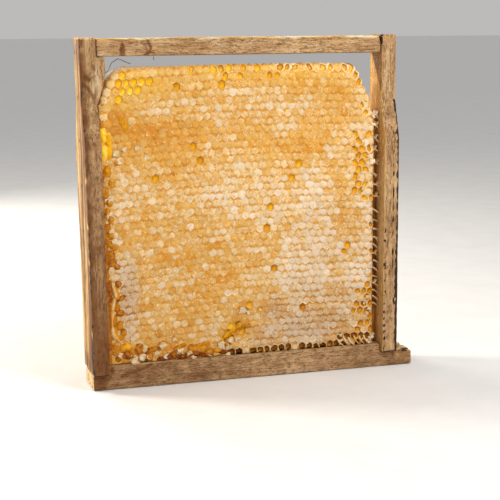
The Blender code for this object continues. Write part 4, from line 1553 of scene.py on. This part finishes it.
def make_honey():
    """The honey and soaked wax along the left and lower borders, one lumpy glossy layer."""
    honey = Surface()
    step = HONEY_STEP
    places = {}

    def point(i, j):
        if (i, j) not in places:
            z = COMB_BOTTOM + 0.0001 + j * step
            x = comb_left(z) + 0.0001 + i * step
            thick, glow = honey_layer(x, z)
            if thick < -0.0004 or not in_comb(x + 0.0012, z + 0.0005):
                places[i, j] = None
            else:
                thick *= 1 + 0.45 * wander(x * 520, z * 520, 0, 96)
                shade = glow + 0.16 * wander(x * 420, z * 420, 0, 97)
                depth = surface(x, z, -1) + thick
                places[i, j] = honey.add(x, -depth, z, glow=max(0.0, shade))
        return places[i, j]

    spots = set()
    for px, pz, half_width, half_height, *_ in MOUNDS:
        reach = max(half_width, half_height) * 1.3 + 0.0008
        left = comb_left(pz)
        from_left, up = px - left, pz - COMB_BOTTOM
        columns = range(max(0, int((from_left - reach) / step)), int((from_left + reach) / step) + 4)
        rows = range(max(0, int((up - reach) / step)), int((up + reach) / step) + 1)
        spots.update(itertools.product(columns, rows))
    columns, rows = int(STRIP_REACH / step), int((STRIP_TOP - COMB_BOTTOM) / step)
    spots.update(itertools.product(range(columns), range(rows)))
    for i, j in sorted(spots):
        corners = (point(i, j), point(i + 1, j), point(i + 1, j + 1), point(i, j + 1))
        if None not in corners:
            honey.face(corners)
    add_fold(honey, FOLD, 0.0012)
    made = honey.build("honey_drops", [HONEY_GLOSS, WAX])
    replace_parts(made, "comb")


def map_face(mesh, side):
    """A flat map seen from the front or the back, for the exported model's textures."""
    layer = mesh.uv_layers.new(name="OFBake")
    count = len(mesh.loops)
    corner = np.empty(count, np.int32)
    mesh.loops.foreach_get("vertex_index", corner)
    co = np.empty(len(mesh.vertices) * 3, np.float32)
    mesh.vertices.foreach_get("co", co)
    co = co.reshape(-1, 3)[corner]
    size = 0.206
    u = (co[:, 0] - COMB_LOW.x) / size + 0.02
    v = (co[:, 2] - COMB_LOW.z) / size + 0.02
    away = 0.004 * (co[:, 1] * side - 0.011) / 0.011
    uv = np.stack([u + away, v + away * 0.5], 1).astype(np.float32)
    layer.uv.foreach_set("vector", uv.ravel())


def crinkle(n, scale, gaps, share):
    """Short thin crooked strokes: the level lines of a noise, broken up by another."""
    level = n.noise(n.place(), scale, 1, 0.5, 1.6)
    near = n.band(n.maths("ABSOLUTE", n.maths("SUBTRACT", level, 0.5)), 0.045, 0.090, 1, 0)
    broken = n.band(n.noise(n.place(), gaps, 1, 0.5), share, share + 0.05)
    return n.times(n.times(near, broken), 0.65)


def wax_material():
    """Wax caps from cream to soaked amber, by the cells' painted values.

    Pale wax and soaked wax meet in crisp ragged borders with a darker line of honey along them.
    """
    n = Nodes("wax")
    wet = n.attribute("wet")
    dull = n.attribute("glow")
    fine = n.noise(n.place(), 1100, 3, 0.6)
    mottle = n.noise(n.place(), 420, 2, 0.5, 0.6)

    amount = n.ragged(wet, (mottle, 0.80), (fine, 0.25))
    dry = shades((0.00, 238, 216, 188), (0.24, 233, 205, 164), (0.40, 230, 194, 136))
    soaked = shades((0.56, 225, 177, 96), (0.76, 221, 160, 60), (1.00, 212, 136, 28))
    colour = n.ramp(amount, dry + soaked)
    lighter = n.maths("MULTIPLY_ADD", n.attribute("tone"), 0.035, 1.0)
    colour = n.mix(1.0, colour, lighter, "MULTIPLY")
    # deep: painted light coming through the wax, yellow
    colour = n.mix(n.times(n.attribute("deep"), 0.8), colour, linear(244, 194, 78))
    colour = n.mix(dull, colour, linear(192, 158, 124))

    line = n.mix(n.band(wet, 0.3, 0.7), linear(216, 148, 14), linear(206, 128, 0))
    line = n.mix(dull, line, linear(138, 84, 22))
    bright_line = linear(250, 234, 204)
    # grooves: honey through thin wax and painted shade in the grooves
    grooves = n.band(n.ragged(n.attribute("arc"), (fine, 1.0), (mottle, 1.2)), 0.43, 0.58, 0, 0.92)
    colour = n.mix(grooves, colour, line)
    # rims: torn pale edges and painted highlights on the caps' lower lips
    rims = n.band(n.ragged(n.attribute("rim"), (fine, 0.9)), 0.35, 0.75, 0, 0.90)
    colour = n.mix(rims, colour, bright_line)
    border = n.maths("ABSOLUTE", n.maths("SUBTRACT", amount, 0.47))
    along = n.noise(n.place(), 480, 1, 0.5)
    drawn = n.times(n.band(border, 0.02, 0.06, 1, 0), n.band(along, 0.48, 0.54))
    colour = n.mix(n.times(drawn, 0.75), colour, line)
    colour = n.mix(crinkle(n, 430, 520, 0.60), colour, line)
    # painted glints: short white strokes
    colour = n.mix(crinkle(n, 520, 610, 0.64), colour, bright_line)
    n.put(n.shader, {"Base Color": colour, "Roughness": n.band(amount, 0.2, 0.9, 0.60, 0.32)})
    n.put(n.shader, {"Specular IOR Level": 0.35, "Subsurface Weight": 0.15})
    n.put(n.shader, {"Subsurface Radius": (1.0, 0.5, 0.2), "Subsurface Scale": 0.0008})
    n.bump(n.maths("ADD", n.times(fine, 0.7), mottle), 0.00045, 0.9)
    return n.material


def honey_material():
    """Honey in open cells: yellow where light comes through, amber and brown in the dark ones."""
    n = Nodes("honey")
    swirl = n.noise(n.place(), 420, 3, 0.55, 0.4)
    amount = n.ragged(n.attribute("glow"), (swirl, 0.55))
    brown = shades((0.00, 104, 44, 0), (0.08, 146, 78, 4), (0.20, 182, 114, 12), (0.34, 208, 140, 16))
    yellow = shades((0.50, 232, 168, 24), (0.72, 246, 196, 24), (0.92, 255, 230, 110))
    colour = n.ramp(n.maths("DIVIDE", amount, 1.3), brown + yellow)
    n.put(n.shader, {"Base Color": colour, "Roughness": n.band(swirl, 0.3, 0.7, 0.07, 0.18)})
    n.put(n.shader, {"Specular IOR Level": 0.18, "Subsurface Weight": 0.10})
    n.put(n.shader, {"Subsurface Radius": (1.0, 0.5, 0.1), "Subsurface Scale": 0.0012})
    n.bump(swirl, 0.0006, 0.8)
    return n.material


def wire_material():
    n = Nodes("wire")
    spots = n.noise(n.place(), 1800, 3)
    colour = n.ramp(spots, shades((0.35, 70, 64, 58), (0.65, 150, 146, 140)))
    n.put(n.shader, {"Base Color": colour, "Metallic": 0.9, "Roughness": n.band(spots, 0.3, 0.7, 0.5, 0.3)})
    return n.material


# ---------------------------------------------------------------- stage


def make_floor():
    bpy.ops.mesh.primitive_plane_add(size=60, location=(0, 0, -0.0002))
    floor = bpy.context.object
    floor.name = "floor"
    n = Nodes("floor")
    speck = n.noise(n.place(), 30, 2)
    colour = n.ramp(speck, ((0.3, (0.80, 0.795, 0.79)), (0.7, (0.84, 0.835, 0.83))))
    n.put(n.shader, {"Base Color": colour, "Roughness": 0.9})
    floor.data.materials.append(n.material)


def add_light(name, place, aim, size, power, colour):
    data = bpy.data.lights.new(name, "AREA")
    data.shape = "DISK"
    data.size = size
    data.energy = power
    data.color = colour
    lamp = bpy.data.objects.new(name, data)
    bpy.context.scene.collection.objects.link(lamp)
    lamp.location = place
    lamp.rotation_mode = "QUATERNION"
    lamp.rotation_quaternion = (Vector(aim) - Vector(place)).to_track_quat("-Z", "Y")


def light_scene():
    world = bpy.data.worlds.new("studio")
    bpy.context.scene.world = world
    world.use_nodes = True
    background = world.node_tree.nodes["Background"]
    background.inputs["Color"].default_value = (1.0, 0.99, 0.975, 1.0)
    background.inputs["Strength"].default_value = 0.50
    middle = (0.0, 0.0, 0.13)
    add_light("key", (-0.80, 0.42, 0.70), middle, 0.30, 8.5, (1.0, 0.92, 0.80))
    add_light("fill", (0.26, -0.50, 0.62), (0.03, 0, 0.20), 0.34, 3.8, (1.0, 0.97, 0.93))
    add_light("back", (-0.42, 0.80, 0.34), (0.03, 0, 0.19), 0.45, 5.0, (1.0, 0.94, 0.82))


AZIMUTH = 16.89
ELEVATION = 9.88
ROLL = -0.44
DISTANCE = 0.8877
TARGET = Vector((0.0067, 0.0, 0.0851))
LENS = 94.5


def make_camera():
    data = bpy.data.cameras.new("camera")
    data.lens = LENS
    data.sensor_width = 36
    data.clip_start = 0.01
    data.clip_end = 20
    camera = bpy.data.objects.new("camera", data)
    bpy.context.scene.collection.objects.link(camera)
    turn, tilt, roll = (math.radians(a) for a in (AZIMUTH, ELEVATION, ROLL))
    level = math.cos(tilt)
    ahead = Vector((math.sin(turn) * level, math.cos(turn) * level, -math.sin(tilt)))
    right = Vector((math.cos(turn), -math.sin(turn), 0.0))
    up = right.cross(ahead)
    c, s = math.cos(roll), math.sin(roll)
    right, up = right * c + up * s, up * c - right * s
    pose = Matrix((right, up, -ahead)).transposed().to_4x4()
    pose.translation = TARGET - ahead * DISTANCE
    camera.matrix_world = pose
    bpy.context.scene.camera = camera


# ---------------------------------------------------------------- all of it

bpy.context.scene.view_settings.view_transform = "Standard"
make_camera()
light_scene()
make_floor()

WOOD = {"X": wood_material("wood_across", "X"), "Z": wood_material("wood_upright", "Z")}
WAX = wax_material()
HONEY_GLOSS = honey_material()
WIRE = wire_material()

make_bar("side_bar_left", "Z", paint_left)
make_bar("side_bar_right", "Z", paint_right)
make_bar("top_rail", "X", paint_rail)
make_bar("bottom_bar", "X", paint_base)
make_comb_face(-1)
make_comb_face(1)
make_web()
make_teeth()
make_torn_wax()
make_honey()
for wire in ("wire_left", "wire_under_rail"):
    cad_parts[wire].data.materials[0] = WIRE
